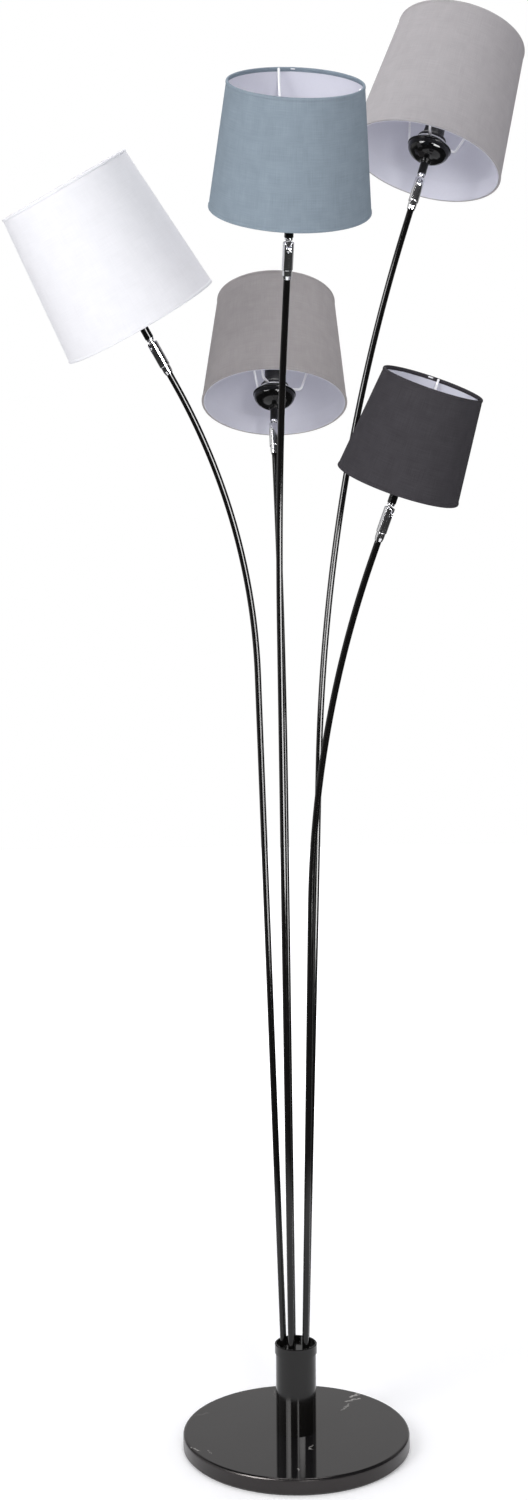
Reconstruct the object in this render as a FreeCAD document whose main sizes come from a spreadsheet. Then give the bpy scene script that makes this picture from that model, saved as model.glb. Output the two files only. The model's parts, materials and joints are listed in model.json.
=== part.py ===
"""Tree floor lamp: a stone disc, a short column and five bent arms with tapered shades.

Frame: the origin is the centre of the disc's underside on the floor, +Z is up and -Y is the
side that the lamp shows first. Lengths are in millimetres, angles in degrees.

Each light is drawn upright around its ball: the ball's centre is 0, the sleeve and the arm's
end lie below it and the cup, socket, frame and shade above it. The light is then carried to
the end of its arm.
"""
import FreeCAD, Part
import math
import os
import re

import Sketcher

VECTOR = FreeCAD.Vector

# Driving dimensions of the stand and of the pieces that all five lights share.
STAND = {
    # soft pad and stone disc
    "pad_radius": 147,
    "pad_height": 2,
    "disc_radius": 150,
    "disc_height": 20,
    "disc_edge": 2,
    "disc_hole_gap": 0.4,
    "recess_radius": 27,
    "recess_depth": 8,
    # threaded rod with its nut and washer
    "rod_radius": 5,
    "rod_bore": 3.4,
    "nut_width": 17,
    "nut_height": 5,
    "washer_radius": 22,
    "washer_height": 2,
    "washer_gap": 0.2,
    # column, its cap and the plate inside
    "column_radius": 26.6,
    "column_wall": 1.4,
    "column_height": 105,
    "cap_radius": 27.9,
    "cap_height": 12.5,
    "cap_lip": 2.4,
    "cap_recess": 6.5,
    "cap_floor": 3.5,
    "cap_spigot": 7,
    "spigot_wall": 1.4,
    "spigot_slope": 2.8,
    "cap_edge": 0.8,
    "plate_level": 22,
    "plate_height": 4,
    # where the arms stand in the cap, and their lock nuts under the plate
    "ring_radius": 16.4,
    "ring_start": 29,
    "ring_gap": 0.35,
    "lock_width": 12,
    "lock_height": 5,
    "lock_gap": 0.3,
    "root_tail": 2,
    # terminal block and cord bush
    "block_length": 22,
    "block_depth": 12,
    "block_height": 9,
    "block_offset": 13,
    "block_ways": 3,
    "way_radius": 2,
    "way_spacing": 6.5,
    "block_screw": 1.6,
    "bush_radius": 5,
    "bush_bore": 3.4,
    "bush_flange": 7,
    "bush_flange_height": 2,
    "bush_depth": 5,
    "bush_level": 12,
}

JOINT = {
    # tube of the arm and the ferrule on its end
    "arm_radius": 4.2,
    "arm_wall": 0.9,
    "ferrule_radius": 5.8,
    "ferrule_foot": 4.9,
    "ferrule_taper": 4.5,
    "ferrule_length": 10.7,
    "ferrule_socket": 8,
    "ferrule_bore": 2.4,
    "glue_gap": 0.05,
    # swivel sleeve, which turns on the ferrule's shaft
    "sleeve_radius": 6.7,
    "sleeve_wall": 0.9,
    "sleeve_top": 8.5,
    "sleeve_length": 33,
    "sleeve_edge": 1,
    "shaft_gap": 0.08,
    "lip_height": 2.2,
    "lip_depth": 0.9,
    "end_gap": 0.3,
    "slot_gap": 0.4,
    # ring in the sleeve's bore on which the ball rests
    "rest_radius": 3.8,
    "rest_depth": 6.2,
    # ball with its neck, collar and threaded stem
    "ball_gap": 0.1,
    "ball_flat": 4.56,
    "neck_radius": 3.2,
    "mouth_gap": 1.4,
    "collar_start": 10.5,
    "collar_radius": 4.8,
    "collar_slope": 1.4,
    "collar_end": 14.5,
    "stem_radius": 4,
    "ball_bore": 2,
}

HEAD = {
    # spun cup with the short tube that stands on the collar
    "tube_radius": 5.5,
    "tube_length": 17,
    "nozzle_radius": 7.2,
    "nozzle_height": 3,
    "cup_radius": 29,
    "cup_depth": 18,
    "cup_bulge": 27,
    "cup_band": 2.2,
    "cup_shoulder": 6,
    "cup_crown": 30,
    "cup_top": 17.5,
    "cup_wall": 0.8,
    "cup_inner_radius": 18,
    "cup_inner_rise": 5.8,
    # lamp holder and the ring on its outer thread
    "holder_radius": 13.6,
    "holder_foot": 46,
    "holder_height": 46,
    "holder_wall": 1.6,
    "holder_floor": 3,
    "screw_radius": 7,
    "screw_length": 22,
    "seat_gap": 0.1,
    "ring_outer": 19,
    "ring_height": 6,
    "ring_groove": 1,
    # wire frame of the shade
    "fitter_radius": 20.4,
    "fitter_height": 1.6,
    "wire_radius": 1.2,
    "wire_reach": 36,
    "wire_turn": 5,
    "wire_count": 3,
    "wire_faces": 6,
    "hoop_width": 2.6,
    "hoop_height": 3,
    "hoop_gap": 0.2,
    # fabric and liner, folded over the hoops
    "fabric_wall": 1.2,
    "hem_width": 5,
    "hem_fold": 0.6,
}

# One row per light: where its arm leans and bends, where the slot and the frame's first wire
# face, how far the head tilts towards the slot, and the size of its shade.
LIGHTS = {
    "white": {
        "place": 2, "lean": 1.79, "lean_turn": 172.7, "straight": 883, "bend": 31.0,
        "bend_radius": 721, "bend_turn": 206.9, "tail": 15, "slot_turn": 0, "tilt": 0,
        "shade_top": 171, "shade_bottom": 204, "shade_height": 188, "shade_drop": 37,
        "frame_turn": 0,
    },
    "blue": {
        "place": 3, "lean": 1.64, "lean_turn": 248.6, "straight": 950, "bend": 26.6,
        "bend_radius": 769, "bend_turn": 274.2, "tail": 76, "slot_turn": 0, "tilt": 0,
        "shade_top": 157, "shade_bottom": 191, "shade_height": 144, "shade_drop": 47,
        "frame_turn": 68,
    },
    "taupe": {
        "place": 1, "lean": 1.75, "lean_turn": 101.5, "straight": 720, "bend": 18.3,
        "bend_radius": 1380, "bend_turn": 92.1, "tail": 31, "slot_turn": 270, "tilt": 3.1,
        "shade_top": 162, "shade_bottom": 198, "shade_height": 157, "shade_drop": 40,
        "frame_turn": 0,
    },
    "grey": {
        "place": 0, "lean": 1.82, "lean_turn": 27.4, "straight": 767, "bend": 16.8,
        "bend_radius": 2424, "bend_turn": 16.4, "tail": 28, "slot_turn": 257, "tilt": -5.6,
        "shade_top": 171, "shade_bottom": 204, "shade_height": 183, "shade_drop": 32,
        "frame_turn": 103,
    },
    "black": {
        "place": 4, "lean": 1.42, "lean_turn": 313.4, "straight": 582, "bend": 22.6,
        "bend_radius": 1175, "bend_turn": 317.8, "tail": 22, "slot_turn": 0, "tilt": 0,
        "shade_top": 126, "shade_bottom": 156, "shade_height": 131, "shade_drop": 38,
        "frame_turn": 0,
    },
}

# Lengths that follow from the driving dimensions, written once as expressions.
BASE_TOP = "(pad_height + disc_height)"
CAP_TOP = f"({BASE_TOP} + column_height + cap_height)"
CAP_FLOOR = f"({CAP_TOP} - cap_recess)"
TUBE_INNER = "(column_radius - column_wall)"
PLATE_LOW = f"({BASE_TOP} + plate_level)"
PLATE_HIGH = f"({PLATE_LOW} + plate_height)"
RECESS_TOP = "(pad_height + recess_depth)"
NUT_LOW = f"({RECESS_TOP} - washer_height - nut_height)"
SLEEVE_BORE = "(sleeve_radius - sleeve_wall)"
BALL_RADIUS = f"({SLEEVE_BORE} - ball_gap)"
SHAFT_RADIUS = f"({SLEEVE_BORE} - shaft_gap)"
SLEEVE_LOW = "(sleeve_top - sleeve_length)"
LIP_RADIUS = f"({SLEEVE_BORE} - lip_depth)"
ARM_END = f"({SLEEVE_LOW} - end_gap - ferrule_length)"
MOUTH_RADIUS = "(neck_radius + mouth_gap)"
NOZZLE_LOW = "(collar_end + tube_length)"
CUP_LOW = f"({NOZZLE_LOW} + nozzle_height)"
CUP_WIDE = f"({CUP_LOW} + cup_depth)"
CUP_HIGH = f"({CUP_WIDE} + cup_band + cup_shoulder)"
FITTER_HIGH = f"({CUP_HIGH} + fitter_height)"
HOLDER_TOP = "(holder_foot + holder_height)"
HOLDER_HOLE = "(holder_radius + seat_gap)"


# ---------------------------------------------------------------- sizes and expressions


def all_sizes():
    """Every driving dimension under one name."""
    sizes = dict(STAND)
    sizes.update(JOINT)
    sizes.update(HEAD)
    for light, row in LIGHTS.items():
        for name, number in row.items():
            sizes[f"{light}_{name}"] = number
    return sizes


def make_sheet(doc, sizes):
    """A sheet with one named cell per driving dimension."""
    sheet = doc.addObject("Spreadsheet::Sheet", "sizes")
    for row, (name, number) in enumerate(sizes.items(), start=1):
        sheet.set(f"A{row}", name)
        sheet.set(f"B{row}", str(number))
        sheet.setAlias(f"B{row}", name)
    doc.recompute()
    return sheet


DOC = FreeCAD.newDocument("tree_floor_lamp")
SIZES = all_sizes()
SHEET = make_sheet(DOC, SIZES)


def cells(expression):
    """The expression with each size's name turned into its cell."""
    def cell(match):
        word = match.group(0)
        return f"sizes.{word}" if word in SIZES else word
    return re.sub(r"[a-z]\w*", cell, str(expression))


def measure(expression):
    """The number that an expression of sizes gives."""
    return float(SHEET.evalExpression(cells(expression)))


def bind(thing, **properties):
    """Bind the properties of an object to expressions of sizes."""
    for name, expression in properties.items():
        thing.setExpression(name, cells(expression))
    return thing


# ---------------------------------------------------------------- sketches


def plane(body, role):
    """One of the body's own origin planes or axes."""
    return next(item for item in body.Origin.OriginFeatures if item.Role == role)


def sketch_on(body, role, name, offset=None):
    """An empty sketch on an origin plane of the body, moved along its normal by offset."""
    sketch = body.newObject("Sketcher::SketchObject", name)
    sketch.AttachmentSupport = [(plane(body, role), "")]
    sketch.MapMode = "FlatFace"
    if offset is not None:
        sketch.setExpression("AttachmentOffset.Base.z", cells(offset))
    return sketch


def fix_point(sketch, edge, end, corner):
    """Hold one end of an edge at the corner's two coordinates."""
    for kind, coordinate in zip(("DistanceX", "DistanceY"), corner):
        limit = Sketcher.Constraint(kind, -1, 1, edge, end, measure(coordinate))
        index = sketch.addConstraint(limit)
        sketch.setExpression(f"Constraints[{index}]", cells(coordinate))


def add_edge(sketch, start, end, arc):
    """A line, or an arc of (radius, side) that bulges to the left (1) or right (-1).

    Returns the edge's number and the numbers of its ends at start and end."""
    first = VECTOR(measure(start[0]), measure(start[1]), 0)
    last = VECTOR(measure(end[0]), measure(end[1]), 0)
    if arc is None:
        return sketch.addGeometry(Part.LineSegment(first, last)), 1, 2
    radius, side = measure(arc[0]), arc[1]
    chord = last - first
    left = VECTOR(-chord.y, chord.x, 0).normalize()
    inset = math.sqrt(radius**2 - (chord.Length / 2) ** 2)
    centre = (first + last) * 0.5 - left * (side * inset)
    if side > 0:
        low, high = last - centre, first - centre
    else:
        low, high = first - centre, last - centre
    begin, finish = math.atan2(low.y, low.x), math.atan2(high.y, high.x)
    if finish < begin:
        finish += 2 * math.pi
    circle = Part.Circle(centre, VECTOR(0, 0, 1), radius)
    edge = sketch.addGeometry(Part.ArcOfCircle(circle, begin, finish))
    index = sketch.addConstraint(Sketcher.Constraint("Radius", edge, radius))
    sketch.setExpression(f"Constraints[{index}]", cells(arc[0]))
    return (edge, 2, 1) if side > 0 else (edge, 1, 2)


def draw(sketch, corners, closed=True):
    """A fully constrained outline through corners (x, y) or (x, y, arc to the next corner)."""
    count = len(corners) if closed else len(corners) - 1
    edges = []
    for index in range(count):
        corner = corners[index]
        arc = corner[2] if len(corner) > 2 else None
        edges.append(add_edge(sketch, corner, corners[(index + 1) % len(corners)], arc))
    for index, (edge, start, end) in enumerate(edges):
        fix_point(sketch, edge, start, corners[index][:2])
        if index + 1 < len(edges) or closed:
            after, after_start, _ = edges[(index + 1) % len(edges)]
            sketch.addConstraint(Sketcher.Constraint("Coincident", edge, end, after, after_start))
        else:
            fix_point(sketch, edge, end, corners[-1][:2])
    return sketch


def circles(sketch, rings):
    """Circles of (x, y, radius), each held by its centre and radius."""
    for across, up, radius in rings:
        centre = VECTOR(measure(across), measure(up), 0)
        shape = Part.Circle(centre, VECTOR(0, 0, 1), measure(radius))
        edge = sketch.addGeometry(shape)
        fix_point(sketch, edge, 3, (across, up))
        index = sketch.addConstraint(Sketcher.Constraint("Radius", edge, measure(radius)))
        sketch.setExpression(f"Constraints[{index}]", cells(radius))
    return sketch


# ---------------------------------------------------------------- features


def new_body(name):
    body = DOC.addObject("PartDesign::Body", name)
    body.Label = name
    return body


def turn_profile(body, corners, name="profile"):
    """A full turn of an outline of (radius, height) about the body's upright axis."""
    outline = draw(sketch_on(body, "XZ_Plane", name), corners)
    DOC.recompute()
    turned = body.newObject("PartDesign::Revolution", f"{name}_turned")
    turned.Profile = outline
    turned.ReferenceAxis = (outline, ["V_Axis"])
    turned.Angle = 360
    outline.Visibility = False
    return turned


def turned_body(name, corners):
    body = new_body(name)
    turn_profile(body, corners)
    return body


def pad(body, sketch, length, name="pad"):
    DOC.recompute()
    solid = body.newObject("PartDesign::Pad", name)
    solid.Profile = sketch
    bind(solid, Length=length)
    return solid


def pocket(body, sketch, length, name="pocket", reverse=False):
    """Cut a sketch's outline into the body, and make sure that it cuts something."""
    DOC.recompute()
    before = body.Shape.Volume
    cut = body.newObject("PartDesign::Pocket", name)
    cut.Profile = sketch
    cut.Reversed = reverse
    bind(cut, Length=length)
    DOC.recompute()
    if not body.Shape.Volume < before:
        raise RuntimeError(f"{body.Label}: {name} cuts nothing")
    return cut


def pipe(body, profile, spine, edge_count, name="pipe"):
    """Carry a profile along the edges of a spine."""
    DOC.recompute()
    tube = body.newObject("PartDesign::AdditivePipe", name)
    tube.Profile = profile
    tube.Spine = (spine, [f"Edge{number}" for number in range(1, edge_count + 1)])
    return tube


def cylinder(name, radius, height, placement=None):
    solid = bind(DOC.addObject("Part::Cylinder", name), Radius=radius, Height=height)
    if placement is not None:
        solid.Placement = placement
    return solid


def hexagon(name, width, height):
    """A six-sided prism of a given width across its flats."""
    prism = DOC.addObject("Part::Prism", name)
    prism.Polygon = 6
    return bind(prism, Circumradius=f"({width}) / sqrt(3)", Height=height)


def cut(name, base, tool):
    result = DOC.addObject("Part::Cut", name)
    result.Base = base
    result.Tool = tool
    result.Label = name
    return result


def lifted(height, turn=None):
    """A placement at a height on the lamp's axis."""
    return FreeCAD.Placement(VECTOR(0, 0, measure(height)), turn or FreeCAD.Rotation())


# ---------------------------------------------------------------- places of the arms


def heading(azimuth, lean=90.0):
    """The unit vector that leans from +Z by lean towards azimuth."""
    around_z, from_z = math.radians(azimuth), math.radians(lean)
    flat = math.sin(from_z)
    return VECTOR(flat * math.cos(around_z), flat * math.sin(around_z), math.cos(from_z))


def root_length():
    """From the lower end of an arm to the cap's top, along the column."""
    nut = "lock_gap + lock_height + root_tail"
    return measure(f"{CAP_TOP} - {PLATE_LOW} + {nut}")


def arm_place(light):
    """Lower end of the light's arm: local Z runs up the arm, local X is the side it bends to."""
    azimuth = measure(f"ring_start + {light}_place * 360 / {len(LIGHTS)}")
    ring = heading(azimuth) * measure("ring_radius") + VECTOR(0, 0, measure(CAP_TOP))
    up = heading(measure(f"{light}_lean_turn"), measure(f"{light}_lean"))
    side = heading(measure(f"{light}_bend_turn"))
    side = (side - up * side.dot(up)).normalize()
    turn = FreeCAD.Rotation(side, up.cross(side), up, "ZXY")
    return FreeCAD.Placement(ring - up * root_length(), turn)


def bend_points(light):
    """The arm's run in its own plane: root, start and end of the bend, and visible end."""
    straight = f"({light}_straight + {root_length()})"
    bend, radius, tail = f"{light}_bend", f"{light}_bend_radius", f"{light}_tail"
    over = f"{radius} * (1 - cos({bend}))"
    top = f"{straight} + {radius} * sin({bend})"
    tail = f"({tail} + ferrule_socket)"
    return [
        ("0", "0"),
        ("0", straight, (radius, 1)),
        (over, top),
        (f"{over} + {tail} * sin({bend})", f"{top} + {tail} * cos({bend})"),
    ]


def ball_place(light):
    """Centre of the light's ball, with local Z along the sleeve and local X at its slot."""
    across, up = (measure(number) for number in bend_points(light)[3][:2])
    bend = measure(f"{light}_bend")
    tip = FreeCAD.Placement(VECTOR(across, 0, up), FreeCAD.Rotation(VECTOR(0, 1, 0), bend))
    past = measure(f"0 - {ARM_END} - ferrule_socket")
    slot = FreeCAD.Rotation(VECTOR(0, 0, 1), measure(f"{light}_slot_turn"))
    return arm_place(light) * tip * FreeCAD.Placement(VECTOR(0, 0, past), slot)


def head_place(light):
    """The ball's place with the light's tilt towards the slot."""
    tilt = FreeCAD.Rotation(VECTOR(0, 1, 0), measure(f"{light}_tilt"))
    return ball_place(light) * FreeCAD.Placement(VECTOR(), tilt)


# ---------------------------------------------------------------- the stand


def base_pad():
    """Soft round pad under the disc; it closes the recess."""
    return cylinder("base_pad", "pad_radius", "pad_height")


def base_disc():
    """Polished stone disc: softened edges, a hole for the rod and a recess for its nut."""
    hole = "rod_radius + disc_hole_gap"
    return turned_body("base_disc", [
        (hole, RECESS_TOP),
        ("recess_radius", RECESS_TOP),
        ("recess_radius", "pad_height"),
        ("disc_radius - disc_edge / 2", "pad_height"),
        ("disc_radius", "pad_height + disc_edge / 2"),
        ("disc_radius", f"{BASE_TOP} - disc_edge", ("disc_edge", -1)),
        ("disc_radius - disc_edge", BASE_TOP),
        (hole, BASE_TOP),
    ])


def centre_rod():
    """Hollow threaded rod from the nut under the disc up into the plate."""
    height = f"{PLATE_HIGH} - {NUT_LOW}"
    rod = cylinder("rod_solid", "rod_radius", height, lifted(NUT_LOW))
    bore = cylinder("rod_way", "rod_bore", height, lifted(NUT_LOW))
    return cut("centre_rod", rod, bore)


def base_nut():
    nut = hexagon("nut_solid", "nut_width", "nut_height")
    nut.Placement = lifted(NUT_LOW)
    hole = cylinder("nut_hole", "rod_radius", "nut_height", lifted(NUT_LOW))
    return cut("base_nut", nut, hole)


def base_washer():
    low = f"{RECESS_TOP} - washer_height"
    disc = cylinder("washer_solid", "washer_radius", "washer_height", lifted(low))
    hole = cylinder("washer_hole", "rod_radius + washer_gap", "washer_height", lifted(low))
    return cut("base_washer", disc, hole)


def column_tube():
    """Tube that stands on the disc, with the hole for the cord bush in its back."""
    body = turned_body("column_tube", [
        (TUBE_INNER, BASE_TOP),
        ("column_radius", BASE_TOP),
        ("column_radius", f"{BASE_TOP} + column_height"),
        (TUBE_INNER, f"{BASE_TOP} + column_height"),
    ])
    hole = sketch_on(body, "XZ_Plane", "bush_hole")
    circles(hole, [("0", f"{BASE_TOP} + bush_level", "bush_radius")])
    pocket(body, hole, "column_radius + column_wall")
    return body


def arm_holes(name, low, height):
    """The five ways of the arms between two levels, fused as one cutting tool."""
    ways = []
    for light in LIGHTS:
        way = cylinder(f"{name}_{light}", "arm_radius + ring_gap", height)
        place = arm_place(light)
        up = place.Rotation.multVec(VECTOR(0, 0, 1))
        way.Placement = FreeCAD.Placement(
            place.Base + up * ((measure(low) - place.Base.z) / up.z), place.Rotation)
        ways.append(way)
    tool = DOC.addObject("Part::MultiFuse", name)
    tool.Shapes = ways
    return tool


def column_cap():
    """Turned cup on the column: a lip round a sunk floor, and a spigot in the tube."""
    top, floor = CAP_TOP, CAP_FLOOR
    low = f"{CAP_TOP} - cap_height"
    body = turned_body("cap_solid", [
        ("0", floor),
        ("0", f"{floor} - cap_floor"),
        (f"{TUBE_INNER} - spigot_wall - spigot_slope", f"{floor} - cap_floor"),
        (f"{TUBE_INNER} - spigot_wall", f"{low} - cap_spigot"),
        (TUBE_INNER, f"{low} - cap_spigot"),
        (TUBE_INNER, low),
        ("cap_radius", low),
        ("cap_radius", f"{top} - cap_edge"),
        ("cap_radius - cap_edge", top),
        ("cap_radius - cap_lip + cap_edge / 2", top),
        ("cap_radius - cap_lip", f"{top} - cap_edge / 2"),
        ("cap_radius - cap_lip", floor),
    ])
    tool = arm_holes("cap_ways", f"{floor} - 2 * cap_floor", "4 * cap_floor")
    return cut("column_cap", body, tool)


def arm_plate():
    """Round plate across the tube that spreads the arms and takes the rod's top."""
    disc = cylinder("plate_solid", TUBE_INNER, "plate_height", lifted(PLATE_LOW))
    tool = arm_holes("plate_ways", f"{PLATE_LOW} - plate_height", "3 * plate_height")
    bored = cut("plate_bored", disc, tool)
    centre = cylinder("plate_thread", "rod_radius", "plate_height", lifted(PLATE_LOW))
    return cut("arm_plate", bored, centre)


def arm_nuts():
    """Five lock nuts on the arms' lower ends, just under the plate."""
    nuts = []
    for light in LIGHTS:
        place = arm_place(light)
        seat = FreeCAD.Placement(VECTOR(0, 0, measure("root_tail")), FreeCAD.Rotation())
        nut = hexagon(f"lock_{light}", "lock_width", "lock_height")
        hole = cylinder(f"lock_hole_{light}", "arm_radius", "lock_height")
        ring = cut(f"lock_ring_{light}", nut, hole)
        ring.Placement = place * seat
        nuts.append(ring)
    group = DOC.addObject("Part::Compound", "arm_nuts")
    group.Links = nuts
    return group


def terminal_block():
    """Connector block on the disc beside the rod, with its wire ways and screw holes."""
    body = new_body("terminal_block")
    foot = sketch_on(body, "XY_Plane", "foot", BASE_TOP)
    near, far = "0 - block_offset - block_depth / 2", "0 - block_offset + block_depth / 2"
    left, right = "0 - block_length / 2", "block_length / 2"
    draw(foot, [(left, near), (right, near), (right, far), (left, far)])
    pad(body, foot, "block_height")
    ways = sketch_on(body, "XZ_Plane", "ways")
    middle = f"{BASE_TOP} + block_height / 2"
    shifts = [index - (STAND["block_ways"] - 1) / 2 for index in range(STAND["block_ways"])]
    circles(ways, [(f"{shift} * way_spacing", middle, "way_radius") for shift in shifts])
    pocket(body, ways, "2 * block_offset + block_depth", "wire_ways", reverse=True)
    screws = sketch_on(body, "XY_Plane", "screws", f"{BASE_TOP} + block_height")
    circles(screws, [
        (f"{shift} * way_spacing", "0 - block_offset", "block_screw") for shift in shifts])
    pocket(body, screws, "block_height / 2", "screw_holes")
    return body


def cord_bush():
    """Bush in the back of the column, where the mains lead would enter."""
    body = turned_body("cord_bush", [
        ("bush_bore", "0 - bush_depth"),
        ("bush_radius", "0 - bush_depth"),
        ("bush_radius", "0"),
        ("bush_flange", "0"),
        ("bush_flange - bush_flange_height / 2", "bush_flange_height"),
        ("bush_bore", "bush_flange_height"),
    ])
    # The flat flange touches the round tube along one upright line, at its middle.
    back = VECTOR(0, measure("column_radius"), measure(f"{BASE_TOP} + bush_level"))
    body.Placement = FreeCAD.Placement(back, FreeCAD.Rotation(VECTOR(1, 0, 0), -90))
    return body


# ---------------------------------------------------------------- one light


def arm(light):
    """Bent tube: straight from its root, one long bend, and a short straight end."""
    body = new_body(f"arm_{light}")
    spine = draw(sketch_on(body, "XZ_Plane", "spine"), bend_points(light), closed=False)
    section = sketch_on(body, "XY_Plane", "section")
    circles(section, [("0", "0", "arm_radius"), ("0", "0", "arm_radius - arm_wall")])
    pipe(body, section, spine, 3)
    body.Placement = arm_place(light)
    return body


def ferrule(light):
    """End piece on the arm: a tapered foot, a groove for the sleeve's lip, and the shaft on
    which the sleeve turns, up to the ring that carries the ball."""
    hole = "arm_radius + glue_gap"
    groove = f"{LIP_RADIUS} - shaft_gap"
    groove_low = f"{SLEEVE_LOW} - end_gap"
    groove_high = f"{SLEEVE_LOW} + lip_height + end_gap"
    shaft_top = "0 - rest_depth - end_gap"
    return turned_body(f"ferrule_{light}", [
        (hole, ARM_END),
        ("ferrule_foot", ARM_END),
        ("ferrule_radius", f"{ARM_END} + ferrule_taper"),
        ("ferrule_radius", groove_low),
        (groove, groove_low),
        (groove, groove_high),
        (SHAFT_RADIUS, groove_high),
        (SHAFT_RADIUS, shaft_top),
        ("ferrule_bore", shaft_top),
        ("ferrule_bore", f"{ARM_END} + ferrule_socket"),
        (hole, f"{ARM_END} + ferrule_socket"),
    ])


def swivel(light):
    """Sleeve that turns on the ferrule: a lip rolled into the ferrule's groove, a ring that
    the ball rests on, a seat that holds it down, and a slot on one side for the tilt."""
    # A 45 degree cone touches a sphere of the bore's radius where radius + height = seat.
    seat = f"{SLEEVE_BORE} * sqrt(2)"
    body = turned_body(f"swivel_{light}", [
        (LIP_RADIUS, SLEEVE_LOW),
        ("sleeve_radius - sleeve_edge", SLEEVE_LOW, ("sleeve_edge", -1)),
        ("sleeve_radius", f"{SLEEVE_LOW} + sleeve_edge"),
        ("sleeve_radius", "sleeve_top - sleeve_edge"),
        ("sleeve_radius - sleeve_edge", "sleeve_top"),
        (MOUTH_RADIUS, "sleeve_top"),
        (MOUTH_RADIUS, f"{seat} - {MOUTH_RADIUS}"),
        (SLEEVE_BORE, f"{seat} - {SLEEVE_BORE}"),
        (SLEEVE_BORE, f"{SLEEVE_BORE} - {seat}"),
        ("rest_radius", f"rest_radius - {seat}"),
        ("rest_radius", "0 - rest_depth"),
        (SLEEVE_BORE, "0 - rest_depth"),
        (SLEEVE_BORE, f"{SLEEVE_LOW} + lip_height"),
        (LIP_RADIUS, f"{SLEEVE_LOW} + lip_height"),
    ])
    half = "(neck_radius + slot_gap)"
    # The slot ends in a half circle, written a hair larger so that its centre can be found.
    outline = sketch_on(body, "YZ_Plane", "slot")
    draw(outline, [
        (half, "sleeve_top + sleeve_edge"),
        (f"0 - {half}", "sleeve_top + sleeve_edge"),
        (f"0 - {half}", "0", (f"{half} * 1.0001", -1)),
        (half, "0"),
    ])
    pocket(body, outline, "2 * sleeve_radius", "slot_cut", reverse=True)
    body.Placement = ball_place(light)
    return body


def ball(light):
    """Ball with neck, collar and the hollow threaded stem that clamps the cup and holder."""
    flat_radius = f"sqrt({BALL_RADIUS}^2 - ball_flat^2)"
    neck = f"sqrt({BALL_RADIUS}^2 - neck_radius^2)"
    top = "holder_foot + holder_floor"
    return turned_body(f"ball_{light}", [
        ("ball_bore", "0 - ball_flat"),
        (flat_radius, "0 - ball_flat", (BALL_RADIUS, -1)),
        (BALL_RADIUS, "0", (BALL_RADIUS, -1)),
        ("neck_radius", neck),
        ("neck_radius", "collar_start"),
        ("collar_radius", "collar_start + collar_slope"),
        ("collar_radius", "collar_end"),
        ("stem_radius", "collar_end"),
        ("stem_radius", top),
        ("ball_bore", top),
    ])


def cup(light):
    """Spun cup: a tube on the collar, a small nozzle, the bulging bowl, a band and a crown
    that closes in to the holder."""
    wall = "cup_wall"
    inner_tube = "stem_radius + seat_gap"
    hole = f"({HOLDER_HOLE} + seat_gap)"
    band_high = f"{CUP_WIDE} + cup_band"
    return turned_body(f"cup_{light}", [
        (inner_tube, "collar_end"),
        ("tube_radius", "collar_end"),
        ("tube_radius", NOZZLE_LOW),
        ("nozzle_radius", f"{NOZZLE_LOW} + nozzle_height / 3"),
        ("nozzle_radius", CUP_LOW, ("cup_bulge", -1)),
        ("cup_radius", CUP_WIDE),
        ("cup_radius", band_high, ("cup_crown", -1)),
        ("cup_top", CUP_HIGH),
        (hole, CUP_HIGH),
        (hole, f"{CUP_HIGH} - {wall}"),
        (f"cup_top - {wall}", f"{CUP_HIGH} - {wall}"),
        (f"cup_radius - {wall}", f"{band_high} - {wall}"),
        (f"cup_radius - {wall}", CUP_WIDE),
        ("cup_inner_radius", f"{CUP_LOW} + cup_inner_rise"),
        ("nozzle_radius", f"{CUP_LOW} + {wall}"),
        (inner_tube, f"{CUP_LOW} + {wall}"),
    ])


def socket(light):
    """Lamp holder: a plain shell, the screw shell lower down and a hole for the stem."""
    mouth = "holder_radius - holder_wall"
    ledge = "holder_foot + holder_floor + screw_length"
    return turned_body(f"socket_{light}", [
        ("stem_radius", "holder_foot"),
        ("holder_radius", "holder_foot"),
        ("holder_radius", HOLDER_TOP),
        (mouth, HOLDER_TOP),
        (mouth, ledge),
        ("screw_radius", ledge),
        ("screw_radius", "holder_foot + holder_floor"),
        ("stem_radius", "holder_foot + holder_floor"),
    ])


def shade_ring(light):
    """Ring on the holder's outer thread that clamps the shade's fitter on the cup."""
    return turned_body(f"shade_ring_{light}", [
        (HOLDER_HOLE, FITTER_HIGH),
        ("ring_outer", FITTER_HIGH),
        ("ring_outer", f"{FITTER_HIGH} + ring_height / 2"),
        ("ring_outer - ring_groove", f"{FITTER_HIGH} + ring_height"),
        (HOLDER_HOLE, f"{FITTER_HIGH} + ring_height"),
    ])


def shade_slope(light):
    """Outer radius of the shade per millimetre of height, and the two ends' radii."""
    top, low = f"({light}_shade_top / 2)", f"({light}_shade_bottom / 2)"
    return top, low, f"(({top} - {low}) / {light}_shade_height)"


def hoop_corners(light, centre, outer):
    """Cross-section of a hoop at a height: a flat wire that follows the shade's slope."""
    _, _, slope = shade_slope(light)
    rise = f"(hoop_height / 2 * {slope})"
    low, high = f"{centre} - hoop_height / 2", f"{centre} + hoop_height / 2"
    return [
        (f"{outer} - hoop_width - {rise}", low),
        (f"{outer} - {rise}", low),
        (f"{outer} + {rise}", high),
        (f"{outer} - hoop_width + {rise}", high),
    ]


def hoop_places(light):
    """Height and outer radius of the top and the bottom hoop, inside the hems."""
    top, low, slope = shade_slope(light)
    start, height = f"{light}_shade_drop", f"{light}_shade_height"
    inset = "(fabric_wall + hem_fold + hoop_gap)"
    high = f"({start} + {height} - hem_width / 2)"
    foot = f"({start} + hem_width / 2)"
    high_radius = f"({top} - {slope} * hem_width / 2 - {inset})"
    low_radius = f"({low} + {slope} * hem_width / 2 - {inset})"
    return (high, high_radius), (foot, low_radius)


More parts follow.
